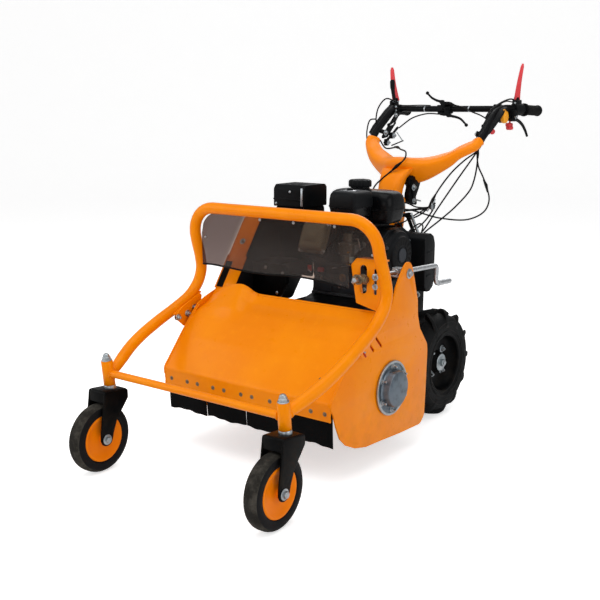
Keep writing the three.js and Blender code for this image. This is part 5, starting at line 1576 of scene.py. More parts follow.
def drive_wheel(sign, side):
    body = "drive_wheel_" + side
    hub, axis = Vec((sign * WHEEL_X, WHEEL_Y, WHEEL_Z)), (sign, 0, 0)

    def place(out, r, angle):
        return hub + Vec((sign * out, r * math.cos(angle), r * math.sin(angle)))

    with Piece("drive_tyre_carcass_" + side, TYRE, body=body, smooth=42,
               replaces="drive_tyre_" + side) as part:
        part.lathe(mirrored(TYRE_HALF, [(170, 0)]), hub, LEFT, 96)
        lugs = 12  # on each side, the two sides staggered
        for lug in range(2 * lugs):
            e = 1 if lug % 2 else -1
            part.loft(lug_loops(hub, e, 2 * math.pi * (lug // 2 + (0.5 if e > 0 else 0)) / lugs))
        # bead and side ribs
        for r in (116, 146):
            for e in (-1, 1):
                part.lathe([(r - 1.6, e * 52.0), (r - 1.0, e * 55.2), (r + 1.0, e * 55.2),
                            (r + 1.6, e * 52.0)], hub, LEFT, 72)
    with Piece("drive_wheel_rim_" + side, BLACK, body=body, slot="rim_steel", smooth=36,
               replaces="drive_rim_" + side) as part:
        part.lathe([(r, h * sign) for r, h in RIM], hub, LEFT, 80)
    with Piece("drive_wheel_hub_" + side, ZINC, body=body, smooth=34) as part:
        part.use(STEEL).rod(hub + Vec((-sign * 94, 0, 0)), hub + Vec((sign * 34, 0, 0)), 14, 32,
                            cap=1)
        part.use(ZINC).lathe([(0, 29.8), (29, 29.8), (30.5, 31), (30.5, 33), (29, 34.2),
                              (0, 34.2)], hub, axis, 40)
        part.hexnut(hub + Vec((sign * 34, 0, 0)), axis, 24, 10, end=3, bolt_r=8)
        part.hexnuts([place(13.2, 54, math.radians(45 + 90 * i)) for i in range(4)], axis,
                     15, 7, end=5, bolt_r=4)
        # valve
        angle = math.radians(200)
        part.use(GRIP).rod(place(17, 82, angle), place(40, 78, angle), 4.2, 16, cap=1)


for sign, side in SIDES:
    drive_wheel(sign, side)


# ------------------------------------------------------------------ engine plate and rear frame
with Piece("rear_plate", BLACK, smooth=34, replaces="rear_frame") as part:
    part.plate(rounded([(-60, -470), (176, -470), (176, -96), (106, -60), (106, 78), (-106, 78),
                        (-106, -60), (-135, -240), (-75, -400)],
                       [10, 10, 14, 10, 6, 6, 10, 30, 30], 6), 440, 448, "Z", bevel=1.2, res=3,
               holes=[circle(-30, -250, 16, 28), slot(60, -220, 60, 22, 90),
                      circle(-82, 40, 6, 16), circle(82, 40, 6, 16)])
with Piece("rear_stringers", BLACK, smooth=34) as part:
    outline = rounded([(-470, 402), (-470, 441), (78, 441), (78, 300), (40, 262), (-40, 262),
                       (-110, 330), (-250, 388), (-330, 402)],
                      [4, 2, 2, 12, 18, 24, 40, 60, 30], 6)
    for e in (1, -1):
        part.plate(outline, e * 100, e * 105, bevel=1.0, res=3,
                   holes=[circle(0, 350, 20, 28), circle(-180, 404, 9, 20),
                          circle(-400, 421, 8, 20)])
    part.plate(rounded([(-104.5, 300), (104.5, 300), (104.5, 441), (-104.5, 441)], 8, 4),
               73, 78, "Y", bevel=1.0, res=3, holes=[slot(0, 372, 90, 44, 0)])
    part.box((-100, -472, 404), (100, -467, 440), 1)
    part.box((100, -462, 404), (172, -457, 440), 1)
    part.box((166, -462, 404), (171, -300, 440), 1)
with Piece("rear_frame_bolts", ZINC) as part:
    part.hexnuts([(x, 78, 428) for x in (-82, -28, 28, 82)], REAR, 13, 7)
    for e in (-1, 1):
        part.hexnuts([(e * 105, y, z) for y, z in ((-430, 420), (-300, 414), (-60, 340),
                                                   (30, 410), (-20, 290))], (e, 0, 0), 13, 7)
with Piece("clutch_cover", BLACK, smooth=36) as part:
    part.prism(rounded([(-236, 452), (-128, 452), (-96, 503), (-98, 545), (-116, 562),
                        (-236, 562)], [2, 8, 14, 16, 16, 2], 5), -470, -452, "Y")
with Piece("clutch_cover_skirt", BLACK, smooth=36) as part:
    part.sheet([(-132, 559), (-236, 559)], 4, -454, -336, "Y", bevel=0.8)
    part.plate(rounded([(-236, 505), (-96, 505), (-96, 646), (-130, 660), (-236, 660)], 8),
               -324, -321, "Y", bevel=0.6)
with Piece("clutch_cover_screws", ZINC) as part:
    part.buttons([(x, -470, z) for x, z in ((-134, 468), (-110, 535), (-180, 548))], FRONT, 6, 4)

# ------------------------------------------------------------------ gearbox
with Piece("gearbox_housing", CAST, smooth=36, replaces="gearbox") as part:
    outline = rounded([(-62, 130), (-30, 104), (40, 104), (70, 130), (72, 290), (60, 420),
                       (-52, 420), (-66, 290)], [18, 22, 22, 18, 30, 16, 16, 30], 6)
    part.prism(outline, -60, 60, r=10, seg=4)
    # joint flange in two halves, a little larger than the housing
    flange = [(y * 1.05 + 0.2, 262 + (z - 262) * 1.035) for y, z in outline]
    for x0, x1 in ((-2.9, -0.2), (0.2, 2.9)):
        part.prism(flange, x0, x1, r=0)
    for axis in (LEFT, RIGHT):
        part.lathe([(15.6, 60), (50, 60), (50, 70), (44, 74), (44, 98), (42, 100), (31, 100),
                    (30, 102), (30, 117), (29, 118), (15.6, 118)], (0, WHEEL_Y, WHEEL_Z),
                   axis, 48)
    for i in range(7):
        z = 200 + i * 26
        part.box((61, -50, z - 2), (66, 56, z + 2), 1.2)
        part.box((-66, -50, z - 2), (-61, 56, z + 2), 1.2)
    part.rod((0, -66, 330), (0, -120, 330), 26, 36, cap=3)
with Piece("gearbox_bolts", ZINC) as part:
    for e in (-1, 1):
        part.hexnuts([(e * 60, y, z) for y, z in (
            (-44, 150), (50, 150), (56, 240), (-50, 240), (52, 330), (-48, 330), (44, 400),
            (-38, 400))], (e, 0, 0), 13, 7, end=0)
    part.button((0, 4, 104), DOWN, 9, 5)
    part.button((0, 71, 200), REAR, 8, 5)

# ------------------------------------------------------------------ engine
FEET = [(x, y) for x in (-92, 112) for y in (-306, -116)]
with Piece("engine_crankcase", DARKCAST, smooth=34, replaces="engine_block") as part:
    part.prism(rounded([(-314, 449), (-316, 474), (-304, 520), (-314, 636), (-298, 672),
                        (-152, 672), (-122, 638), (-122, 500), (-108, 472), (-108, 449)],
                       [3, 10, 20, 14, 14, 14, 14, 16, 8, 3], 6), -100, 124, r=6, seg=4)
    # side cover with ribs and a boss on the output side
    part.prism(rounded([(-296, 500), (-306, 630), (-286, 660), (-164, 660), (-136, 630),
                        (-136, 508), (-160, 484), (-272, 484)], 24, 6), -112, -98, r=4)
    for a in turns(10):
        part.rod((-113, SHAFT_Y + 50 * math.cos(a), SHAFT_Z + 50 * math.sin(a)),
                 (-113, SHAFT_Y + 68 * math.cos(a), SHAFT_Z + 60 * math.sin(a)), 3.4, 8)
    part.lathe([(13.5, -16), (50, -16), (52, -12), (52, 12), (49, 15.6), (34, 15.6), (32, 13),
                (24, 13), (22, 15.6), (13.5, 15.6)], (-116, SHAFT_Y, SHAFT_Z), RIGHT, 56)
    part.box((-104, -322, 449), (124, -100, 457), 3)
    for x, y in FEET:
        part.lathe([(7, 0), (14, 0), (14, 14), (12.5, 16), (7, 16)], (x, y, 450), UP, 24)

# The barrel leans forward: its base, head end, axis and two cross directions
BARREL_BASE, BARREL_END = Vec((-30, -296, 603)), Vec((-30, -397, 647.8))
BARREL_DIR = (BARREL_END - BARREL_BASE).normalized()
BARREL_U = Vec(LEFT)
BARREL_V = BARREL_DIR.cross(BARREL_U).normalized()
if BARREL_V.z < 0:
    BARREL_V = -BARREL_V


def fin_loop(centre, half_u, half_v, radius):
    return [centre + BARREL_U * a + BARREL_V * b
            for a, b in rounded_rect(half_u, half_v, radius)]


with Piece("engine_barrel_fins", DARKCAST, smooth=30) as part:
    part.loft([fin_loop(lerp(BARREL_BASE, BARREL_END, t), 42, 46, 14) for t in (0, 1)])
    for i in range(10):
        centre = lerp(BARREL_BASE, BARREL_END, 0.06 + i * 0.094)
        half = 52 - (1.5 if i > 7 else 0)
        part.loft([fin_loop(centre + BARREL_DIR * along, half - inset, high, r)
                   for along, inset, high, r in ((-1.5, 1.2, 57, 12), (-0.8, 0, 58, 13),
                                                 (0.8, 0, 58, 13), (1.5, 1.2, 57, 12))])
ROCKER_BASE = Vec((-30, -399.4, 648.6))
with Piece("rocker_cover", ROCKER, smooth=36, replaces="valve_cover") as part:
    base = ROCKER_BASE
    part.loft([fin_loop(base + BARREL_DIR * h, half, half, 12 if half > 40 else 10)
               for half, h in ((50, 0), (50, 3.4), (45.4, 4.6), (45, 17), (43, 23), (38, 27.4),
                               (30, 29))])
    part.loft([fin_loop(base + BARREL_DIR * h + BARREL_V * 2, a, b, 4)
               for a, b, h in [(24, 20, 27), (24, 20, 30.4), (22.4, 18.4, 31.6)]])
    part.tube(bent([base + BARREL_DIR * h + BARREL_U * u + BARREL_V * v
                    for h, u, v in ((12, -30, 44), (12, -30, 58), (6, 6, 62))], 8, 6),
              5, 16, cap=1)
with Piece("rocker_cover_bolts", ZINC) as part:
    part.hexnuts([ROCKER_BASE + BARREL_DIR * 4.4 + BARREL_U * a * 1.04 + BARREL_V * b * 1.04
                  for a in (-41, 41) for b in (-41, 41)], BARREL_DIR, 10, 6, end=0)
with Piece("spark_plug_and_boot", PORCELAIN, ZINC, GRIP, smooth=40) as part:
    base, axis = Vec((24, -388, 630)), Vec((0.55, -0.82, 0.16)).normalized()
    part.use(ZINC).lathe([(0, -6), (7, -6), (7, 0), (10.4, 0), (10.4, 9), (7.4, 10), (0, 10)],
                         base, axis, 6)
    part.use(PORCELAIN).rod(base + axis * 9, base + axis * 24, 5.4, 24, cap=1)
    part.use(GRIP).lathe([(0, 20), (8.4, 20), (9.4, 22), (9.4, 34), (8.4, 42), (6.4, 50),
                          (0, 51)], base, axis, 28)
    lead = base + axis * 46
    part.use(CABLE).tube(spline([lead, lead + axis * 16 + Vec((0, 0, 6)), (70, -424, 664),
                                 (62, -410, 690), (34, -360, 690), (20, -320, 672)], 4),
                         3.5, 14, cap=1)

# ---- muffler
with Piece("muffler_shield_box", SATIN, smooth=34, replaces="muffler_box") as part:
    part.prism(rounded([(-400, 743), (-400, 801), (-389, 814.6), (-282, 814.6), (-272, 805),
                        (-272, 743)], [4, 9, 9, 8, 8, 4], 5), -201, -77, r=6, seg=4)
with Piece("muffler_ridges_and_highlight_strip", SATIN, ZINC, smooth=36) as part:
    for x in (-166, -139, -112):
        part.box((x - 6, -378, 813.8), (x + 6, -294, 815.6), 0.9)
    part.box((-202, -402.4, 765), (-76, -399, 770), 1.2)
    # light zinc strip just inside the box's front corner: a painted highlight along that edge
    part.use(ZINC).box((-88.5, -402.6, 748), (-80.5, -400.2, 806), 1.1)
    part.buttons([(-134, -400, 792), (-191, -400, 752)], FRONT, 4.6, 3)
with Piece("muffler_body", SATIN, smooth=36) as part:
    part.prism(rounded([(-394, 694), (-394, 744), (-280, 744), (-280, 694)], 12, 5), -197, -80,
               r=6, seg=4)
with Piece("exhaust_pipe", SATIN, smooth=40) as part:
    part.tube(bent([(-150, -330, 745), (-150, -330, 664), (-104, -330, 664)], 24, 8), 15, 28)
    part.lathe([(15, 0), (24, 0), (24, 5), (15, 5)], (-105, -330, 664), RIGHT, 28)
with Piece("muffler_stay", BLACK) as part:
    part.sheet([(-284, 680), (-270, 700), (-270, 752)], 4, -150, -96, bevel=0.8, r=8)

# ---- air cleaner
CLEANER_X, CLEANER_Y = (33, 131), (-421, -304)
with Piece("air_cleaner_cover", PLASTIC, smooth=42, replaces="air_cleaner") as part:
    part.loft(inset_loops(CLEANER_X, CLEANER_Y, [
        (756, 0, 13), (758, -0.6, 13), (780, 0.4, 13), (793, 1.6, 13), (799.4, 4.4, 13),
        (803, 9, 12), (804.6, 15, 10)]))
with Piece("air_cleaner_base", GLOSSY, slot="black_plastic", smooth=42) as part:
    part.loft(inset_loops(CLEANER_X, CLEANER_Y, [
        (724, 8, 14), (728, 3, 18), (748, 1.5, 20), (751, -0.8, 20), (754.6, -0.8, 20),
        (755.6, 1.4, 19)]))
with Piece("air_cleaner_knob", CHROME, GRIP, smooth=50) as part:
    base = (82, -370, 804.2)
    part.use(GREY_PL).lathe([(0, 0), (31, 0), (33, 0.6), (33, 1.6), (31, 2.2), (27, 1.0),
                             (22, 0.6), (0, 0.6)], base, UP, 48)
    part.use(CHROME).lathe([(0, 1.0), (20, 1.0), (21, 1.6), (20, 2.4), (8, 3.0), (0, 3.0)],
                           base, UP, 40)
    part.use(PLASTIC).lathe([(0, 2.6), (8.6, 2.6), (10.4, 4), (10.8, 6.4), (9.6, 8.4), (6, 9.4),
                             (0, 9.6)], base, UP, 30,
                            wobble=lambda a, r, h: 1 + (0.05 * math.cos(a * 6) if r > 8 else 0))
with Piece("intake_elbow", PLASTIC) as part:
    part.lathe([(0, 0), (20, 0), (20, 44), (24, 46), (24, 48.6), (0, 48.6)], (70, -355, 677),
               UP, 36)

# ---- fuel tank
TANK_X, TANK_Y = (-65, 181), (-297, -176)
CAP_X, CAP_Y = 33, -238
with Piece("fuel_tank_shell", GLOSSY, smooth=44, replaces="fuel_tank") as part:
    # the two deepened rows in the middle make the seam's groove
    part.loft(inset_loops(TANK_X, TANK_Y, [
        (694.5, 22, 22), (696, 16, 26), (701, 9, 30), (712, 5, 32), (730, 2.0, 32),
        (738, 0.6, 32), (739.4, 0.4, 32), (740.4, 2.4, 30), (743.6, 2.4, 30), (744.6, 0.2, 32),
        (746, 0, 32), (766, 0.8, 32), (782, 3.4, 33), (791, 8.6, 34), (796.4, 17, 32),
        (799.4, 30, 26), (800.4, 44, 16)], 8))
    for x0, x1 in ((-50, -20), (90, 120)):
        part.box((x0, -290, 677), (x1, -190, 698), 3)
with Piece("fuel_tank_seam", GLOSSY, smooth=40) as part:
    part.loft(inset_loops(TANK_X, TANK_Y, [(739.6, -0.2, 32), (740.2, -1.4, 33),
                                           (743.8, -1.4, 33), (744.4, -0.2, 32)], 8))
with Piece("fuel_filler_neck", GLOSSY, smooth=40) as part:
    part.lathe([(0, 796), (36, 796), (34, 801), (31.6, 803), (31.4, 805.6), (0, 805.6)],
               (CAP_X, CAP_Y, 0), UP, 48)


def cap_grooves(angle, r, h):
    return 1 - (0.055 * abs(math.sin(angle * 6)) ** 6 if 34.9 < r and h > 807 else 0)


with Piece("fuel_cap_body", PLASTIC, body="fuel_cap", smooth=36, replaces="fuel_cap") as part:
    part.lathe([(0, 806.8), (35, 806.8), (37.4, 808), (38, 811), (38, 824), (36.6, 828),
                (32, 830.6), (22, 831.6), (18, 830.2), (0, 829.8)], (CAP_X, CAP_Y, 0), UP, 120,
               wobble=cap_grooves)
    part.box((CAP_X - 6, CAP_Y - 24, 829), (CAP_X + 6, CAP_Y + 24, 832), 1.4)

# ---- recoil starter
STARTER = Vec((0, SHAFT_Y, SHAFT_Z))
PULL = Vec((172, -322, 634.7))
PULL_DIR = (Vec((172, -292, 622)) - PULL).normalized()
with Piece("recoil_housing", PLASTIC, smooth=36, replaces="recoil_starter") as part:
    part.prism(rounded([(-303, 521), (-303, 649), (-262, 675), (-168, 675), (-121, 649),
                        (-121, 521)], 14, 6), 128.8, 159, r=7, seg=4)
    part.lathe([(0, 150), (85, 150), (85.6, 153), (84.6, 158), (81, 165), (79.4, 172),
                (76, 175.8), (66, 177), (62, 180), (60, 185), (57, 186), (32, 186),
                (30, 184.4), (0, 184.4)], STARTER, LEFT, 88)
with Piece("recoil_grille", BELT, GREY_PL, slot="black_plastic", smooth=30) as part:
    for a in turns(18):
        part.prism([(SHAFT_Y + r * math.cos(a + t / r * 34), SHAFT_Z + r * math.sin(a + t / r * 34))
                    for r, t in ((35, -0.10), (55, -0.13), (55, 0.13), (35, 0.10))],
                   185.6, 186.3, r=0)
    part.use(GREY_PL).lathe([(0, 184), (21, 184), (23, 185), (23, 187), (21, 188.4),
                             (0, 188.4)], STARTER, LEFT, 40)
with Piece("recoil_screws", ZINC) as part:
    part.hexnuts([STARTER + Vec((160, 92 * math.cos(a) * 0.98, 74 * math.sin(a)))
                  for a in [math.radians(30 + 120 * i) for i in range(3)]], LEFT, 10, 5, end=0)
with Piece("recoil_pull_grip", PLASTIC, body="recoil_handle", smooth=45,
           replaces="recoil_handle") as part:
    part.tube([(172 + t, -322, 634.7 + 1.2 * math.cos(t / 18 * 1.4)) for t in range(-18, 19, 3)],
              [6.2, 7.6, 8.3, 8.6, 8.6, 8.4, 8.4, 8.4, 8.6, 8.6, 8.3, 7.6, 6.2], 22, cap=2)
    part.lathe([(0, 4), (6.6, 4), (5.4, 14), (4.4, 17), (0, 17)], PULL, PULL_DIR, 22)
with Piece("recoil_rope_guide", GREY_PL) as part:
    part.lathe([(3.6, 0), (9, 0), (10, 1.6), (9, 4), (6, 6), (6, 20), (0, 20)],
               PULL + PULL_DIR * 18, PULL_DIR, 24)

# ---- carburettor and small fittings
with Piece("carburettor_body", CAST, BRASS, ZINC, smooth=36, replaces="carburettor") as part:
    part.box((38, -371, 598), (90, -328, 638), 5, seg=3)
    part.lathe([(0, 0), (17, 0), (21, 3), (22, 6), (22, 26), (20, 28), (0, 28)],
               (64, -350, 570.4), UP, 36)
    part.lathe([(0, 0), (15, 0), (15, 28), (13, 30), (0, 30)], (64, -352, 638), UP, 30)
    part.rod((64, -328, 618), (64, -319.5, 618), 16, 30)
    part.use(BRASS).hexnut((64, -350, 570.4), DOWN, 12, 5, end=0)
    part.rod((82, -371, 610), (82, -380, 610), 3.4, 16, cap=0.8)
    part.use(ZINC).buttons([(x, -371, z) for x in (43, 85) for z in (602, 634)], FRONT, 3.4, 2.4)
    part.rod((90, -350, 626), (102, -350, 626), 3, 14)
    part.box((99, -366, 606), (101, -344, 634), 0.8)
    part.rod((100, -360, 612), (112, -240, 640), 1.6, 10, cap=0.5)
with Piece("engine_side_details", GREY_PL, STEEL, RED, BRASS, smooth=36) as part:
    # slanting rod right of the barrel and a bent wire across the front
    part.use(STEEL).rod((-62, -318, 600), (-84, -322, 556), 2.6, 14, cap=0.8)
    part.tube(spline([(110, -322, 560), (96, -330, 572), (60, -334, 560), (10, -326, 548),
                      (-20, -320, 540)], 5), 2.0, 10, cap=1)
    part.use(RED).box((-76, -326, 524), (-52, -317, 540), 2.4)
    part.use(GREY_PL).prism(rounded([(40, 470), (108, 470), (60, 532), (46, 532)], 5, 4),
                            -330, -317, "Y", r=2, seg=2)
    part.box((-96, -322, 462), (-20, -316, 500), 2)
    part.use(GLOSSY).lathe([(0, 0), (13, 0), (14, 1.4), (14, 10), (11, 12), (0, 12)],
                           (80, -318, 506), (0, -1, 0.25), 24,
                           wobble=lambda a, r, h: 1 + (0.05 * math.cos(a * 8) if r > 12 else 0))
    part.lathe([(0, 0), (7, 0), (8, 1.4), (8, 12), (6, 14), (0, 14)], (-40, -316, 566), FRONT, 6)
    part.box((112, -330, 548), (140, -300, 592), 4, seg=3)
    part.use(BRASS).hexnut((20, -316, 512), FRONT, 14, 6, end=0)
# screws, clips and unions on the front of the engine
with Piece("engine_front_fittings", ZINC, BRASS, RED, GREY_PL, STEEL, smooth=36) as part:
    for x, z, flats in ((-40, 690, 10), (44, 690, 9), (62, 672, 8), (100, 676, 10),
                        (118, 662, 8), (73, 609, 10), (-6, 668, 8)):
        part.hexnut((x, -322, z), FRONT, flats, 4.5, end=1.5, phase=x * 0.1)
    part.use(BRASS).rod((29, -312, 595), (29, -330, 595), 6, 20, cap=1)
    part.hexnut((29, -326, 595), FRONT, 14, 5, end=1)
    part.use(RED).box((-114, -330, 524), (-98, -324, 544), 2)
    part.use(STEEL).rod((-118, -326, 534), (-96, -332, 520), 2.2, 12)
    part.rod((36, -330, 640), (92, -336, 650), 2.4, 12, cap=0.8)
    part.rod((92, -336, 650), (98, -330, 612), 2.4, 12, cap=0.8)
    part.use(GREY_PL).box((44, -332, 622), (66, -320, 636), 2)
with Piece("engine_cowl", SATIN, smooth=36) as part:
    part.sheet([(-316, 676), (-250, 686), (-164, 680), (-118, 650), (-112, 560)], 2.4, -98, 126,
               r=26)
with Piece("engine_mount_bolts", ZINC) as part:
    part.hexnuts([(x, y, 466) for x, y in FEET], UP, 13, 8, end=3)
    part.hexnuts([(-112, y, z) for y, z in ((-290, 520), (-296, 622), (-150, 646), (-146, 520),
                                            (-268, 652), (-220, 494))], RIGHT, 10, 6, end=0)
    part.hexnuts([(-70, -306, 500), (-70, -314, 630), (100, -314, 630), (104, -314, 480),
                  (10, -314, 480)], FRONT, 10, 5, end=0)

# guard behind the starter
REAR_GUARD = rounded([(-96, 470), (-82, 449.4), (-60, 449.4), (-38, 462), (-30, 490), (-30, 610),
                      (-40, 636), (-62, 648), (-84, 646), (-99, 630)],
                     [10, 8, 8, 12, 14, 22, 16, 14, 12, 14], 6)
with Piece("rear_guard_cover", PLASTIC, smooth=36, replaces="rear_guard") as part:
    part.prism(REAR_GUARD, 96, 203.6, r=7, seg=4)
with Piece("rear_guard_seam", PLASTIC, smooth=36) as part:
    mid_y, mid_z = -64, 549
    part.prism([(mid_y + (y - mid_y) * 1.02, mid_z + (z - mid_z) * 1.008)
                for y, z in REAR_GUARD], 148, 151, r=0)
    for z in (500, 540, 580):
        part.box((203, -84, z), (205, -46, z + 8), 0.9)


# ------------------------------------------------------------------ handle column
HANDLE_Y, HANDLE_Z = 6, 728  # the handle's tilt pivot
# Post stations: (y, z, half x, half y)
POST = ((-59, 449.2, 29, 38), (-58, 453, 27.5, 36.5), (-50, 485, 27, 36), (-32, 560, 27, 36),
        (-16, 632, 27, 36), (-10, 668, 27, 35.6))
with Piece("handle_column_post", ORANGE, slot="frame_paint", smooth=36,
           replaces="handle_column") as part:
    part.loft([[Vec((0, y, z)) + Vec((a, b, 0)) for a, b in rounded_rect(half_x, half_y, 9)]
               for y, z, half_x, half_y in POST])
    part.box((-46, -42, 636), (46, 22, 672), 5, seg=3)
    part.box((-64, -98, 448.6), (64, -8, 454), 1.5)
    cheek = rounded([(-34, 700), (-28, 742), (-14, 756), (22, 756), (34, 744), (36, 700),
                     (22, 640), (-36, 640), (-42, 660)], [10, 10, 8, 12, 8, 12, 8, 8, 10], 5)
    for e in (1, -1):
        part.plate(cheek, e * 41, e * 46, bevel=1.1, res=2)
with Piece("handle_column_bolts", ZINC) as part:
    part.hexnuts([(x, y, 454) for x in (-52, 52) for y in (-88, -20)], UP, 13, 8)
    part.rod((-50, HANDLE_Y, HANDLE_Z), (50, HANDLE_Y, HANDLE_Z), 8, cap=1)
    for e in (1, -1):
        part.hexnut((e * 46.2, HANDLE_Y, HANDLE_Z), (e, 0, 0), 19, 9, end=3)
with Piece("column_stay_rod", ZINC) as part:
    part.rod((103, -26, 704), (103, 44, 612), 5.2, 18, cap=1)
with Piece("column_shift_strut", BLACK, smooth=40) as part:
    part.tube(bent([(46, -10, 690), (88, -24, 700), (90, 31, 619), (96, 20, 560)], 12, 6),
              6.5, 18, cap=1)
    part.box((84, -34, 690), (104, -12, 706), 2.5)

# ------------------------------------------------------------------ yoke cover
# Left arm stations to the middle: (x, y, z, half size across, half size along YOKE_BACK)
YOKE = [(219, 235, 942, 17.5, 25), (211, 213, 928.5, 16.6, 25), (178, 176.4, 906.6, 17.5, 28.5),
        (146, 156, 883, 23, 34), (97, 129, 858, 32.5, 35), (54, 100, 844, 43.5, 30),
        (0, 73, 842, 49, 28.5)]
YOKE_BACK = unit((0, 1, 0.45))
# Neck stations: (y, z, half x, half y)
NECK = [(2, 712, 36.5, 30.5), (2, 714, 38, 32), (2.4, 734, 38.4, 32.4), (3.4, 756, 39, 33),
        (8, 780, 40.6, 33.6), (16, 800, 43, 34), (30, 820, 47, 34), (44, 838, 52, 34),
        (60, 852, 58, 30)]


def catmull(rows, steps):
    """Uniform Catmull-Rom curve through rows of numbers."""
    pts = [np.array(row, float) for row in rows]
    pts = [2 * pts[0] - pts[1]] + pts + [2 * pts[-1] - pts[-2]]
    out = []
    for i in range(1, len(pts) - 2):
        a, b, c, d = pts[i - 1:i + 3]
        for k in range(steps):
            t = k / steps
            out.append(0.5 * ((2 * b) + (-a + c) * t + (2 * a - 5 * b + 4 * c - d) * t * t
                              + (-a + 3 * b - 3 * c + d) * t ** 3))
    out.append(pts[-2])
    return out


def yoke_loops(rows, scale=1.0):
    loops = []
    for i, row in enumerate(rows):
        before, after = rows[max(i - 1, 0)][:3], rows[min(i + 1, len(rows) - 1)][:3]
        tangent = unit(Vec(after) - Vec(before))
        back = (YOKE_BACK - tangent * YOKE_BACK.dot(tangent)).normalized()
        side = tangent.cross(back).normalized()
        high, deep = row[3] * scale, row[4] * scale
        loops.append([Vec(tuple(row[:3])) + back * (squared(math.cos(a), 0.60) * deep)
                      + side * (squared(math.sin(a), 0.60) * high) for a in turns(36)])
    return loops


with Piece("yoke_cover_shell", ORANGE_PL, body="handlebar", smooth=70,
           replaces="yoke_cover") as part:
    rows = catmull(YOKE + [(-row[0], *row[1:]) for row in reversed(YOKE[:-1])], 7)
    loops, small = yoke_loops(rows), yoke_loops(rows, scale=0.86)
    # shrunken loops pushed outward round the two ends
    first_out = unit(Vec(tuple(rows[0][:3])) - Vec(tuple(rows[1][:3])))
    last_out = unit(Vec(tuple(rows[-1][:3])) - Vec(tuple(rows[-2][:3])))
    part.loft([[p + first_out * 3.4 for p in small[0]], *loops,
               [p + last_out * 3.4 for p in small[-1]]])
with Piece("yoke_neck", ORANGE_PL, body="handlebar", smooth=60) as part:
    part.loft([[Vec((0, y, z)) + Vec((squared(math.cos(a), 0.55) * half_x,
                                      squared(math.sin(a), 0.55) * half_y,
                                      0.12 * math.sin(a) * half_y)) for a in turns(40)]
               for y, z, half_x, half_y in NECK])
with Piece("height_lock_housing", BLACK, body="handlebar", smooth=36) as part:
    part.prism(rounded([(34, 800), (38, 820), (56, 828), (122, 812), (104, 778), (84, 748),
                        (96, 728), (88, 722), (52, 727), (34, 744), (36, 764), (46, 790)],
                       [4, 8, 8, 5, 16, 14, 5, 5, 8, 12, 12, 6], 5), 40, 58, r=4)
    part.prism(rounded([(44, 792), (50, 816), (104, 806), (86, 776), (70, 748), (60, 745),
                        (56, 766)], 6, 4), 57, 61, r=1.6, seg=2)
with Piece("height_lock_lever", ZINC, GRIP, body="handlebar") as part:
    part.hexnut((60, 64, 786), LEFT, 13, 6, end=3)
    part.hexnut((57, 72, 738), LEFT, 10, 5)
    part.rod((52, 86, 742), (72, 98, 736), 3, 14, cap=1)

# ------------------------------------------------------------------ bars
CROSSBAR_Y, CROSSBAR_Z = 398, 1057
BAR_PATH = [(219, 225, 937), (222.6, 233.8, 945), (228, 262, 968), (226, 312, 1006),
            (224, 362, 1042), (230, 392, 1056), (244, 420, 1059), (262, 448, 1056),
            (272, 476, 1054), (281.0, 570, 1051.2)]  # left bar
with Piece("handlebar_tubes", SATIN, body="handlebar", smooth=40,
           replaces="handlebar_tube") as part:
    for sign in (1, -1):
        part.tube(spline([(sign * x, y, z) for x, y, z in BAR_PATH], 6), 13.6, 28, cap=1.5)
    part.rod((-222, CROSSBAR_Y, CROSSBAR_Z), (222, CROSSBAR_Y, CROSSBAR_Z), 11.6, 32)
    stay = rounded([(250, 944), (372, 1052), (396, 1060), (406, 1042), (378, 1028), (300, 950)],
                   [6, 10, 8, 8, 14, 10], 5)
    for sign in (1, -1):
        part.plate(stay, sign * 196, sign * 201, bevel=1.0, res=2,
                   holes=[slot(330, 1000, 60, 12, 41, 6)])
    for sign in (-1, 1):
        part.rod((sign * 193, 278, 968), (sign * 228, 278, 978), 8.6, 20, cap=1)
        part.box((sign * 212 - 14, 384, 1040), (sign * 212 + 14, 412, 1074), 5, seg=3)

# Slanting boxes round the bars: corner radius and stations of (centre, half x, half height)
ARM_BOXES = (
    (7, (((229, 262, 974), 17, 17), ((230, 270, 982), 22, 22), ((231, 316, 1015), 25, 24),
         ((234, 352, 1042), 24, 22), ((238, 376, 1054), 18, 16))),
    (6, (((-232, 262, 974), 17, 17), ((-234, 272, 982), 22, 23), ((-233, 320, 1016), 22, 25),
         ((-234, 356, 1040), 22, 24), ((-236, 380, 1054), 20, 20))),
)
with Piece("handlebar_clamps", PLASTIC, body="handlebar", smooth=40) as part:
    for sign in (1, -1):
        # clamp housing where lever and bar meet
        part.lathe([(13.7, -20), (20, -20), (22, -18), (22, 18), (20, 20), (13.7, 20)],
                   (sign * 264, 452, 1056), (sign * 0.36, 0.93, -0.06), 28)
        part.box((sign * 262 - 13, 434, 1062), (sign * 262 + 13, 468, 1090), 5, seg=3)
        part.box((sign * 240 - 11, 398, 1044), (sign * 240 + 11, 426, 1072), 5, seg=3)
    for radius, stations in ARM_BOXES:
        part.loft([[Vec(centre) + Vec((a, b * 0.72, b * 0.69))
                    for a, b in rounded_rect(half_x, half_h, radius)]
                   for centre, half_x, half_h in stations])
with Piece("handlebar_screws", ZINC, body="handlebar") as part:
    for sign in (1, -1):
        part.buttons([(sign * 212, 384, 1050), (sign * 212, 384, 1064)], FRONT, 5, 4)
        part.hexnut((sign * 193, 278, 968), (-sign, 0, 0), 13, 6)
        part.hexnut((201 if sign > 0 else -196, 356, 1034), LEFT, 10, 5)
        part.button((sign * 262, 434, 1078), FRONT, 4.4, 3)
    for x in (-91, 96):
        part.rod((x, CROSSBAR_Y, CROSSBAR_Z), (x + 5, CROSSBAR_Y, CROSSBAR_Z), 12.1, 28)

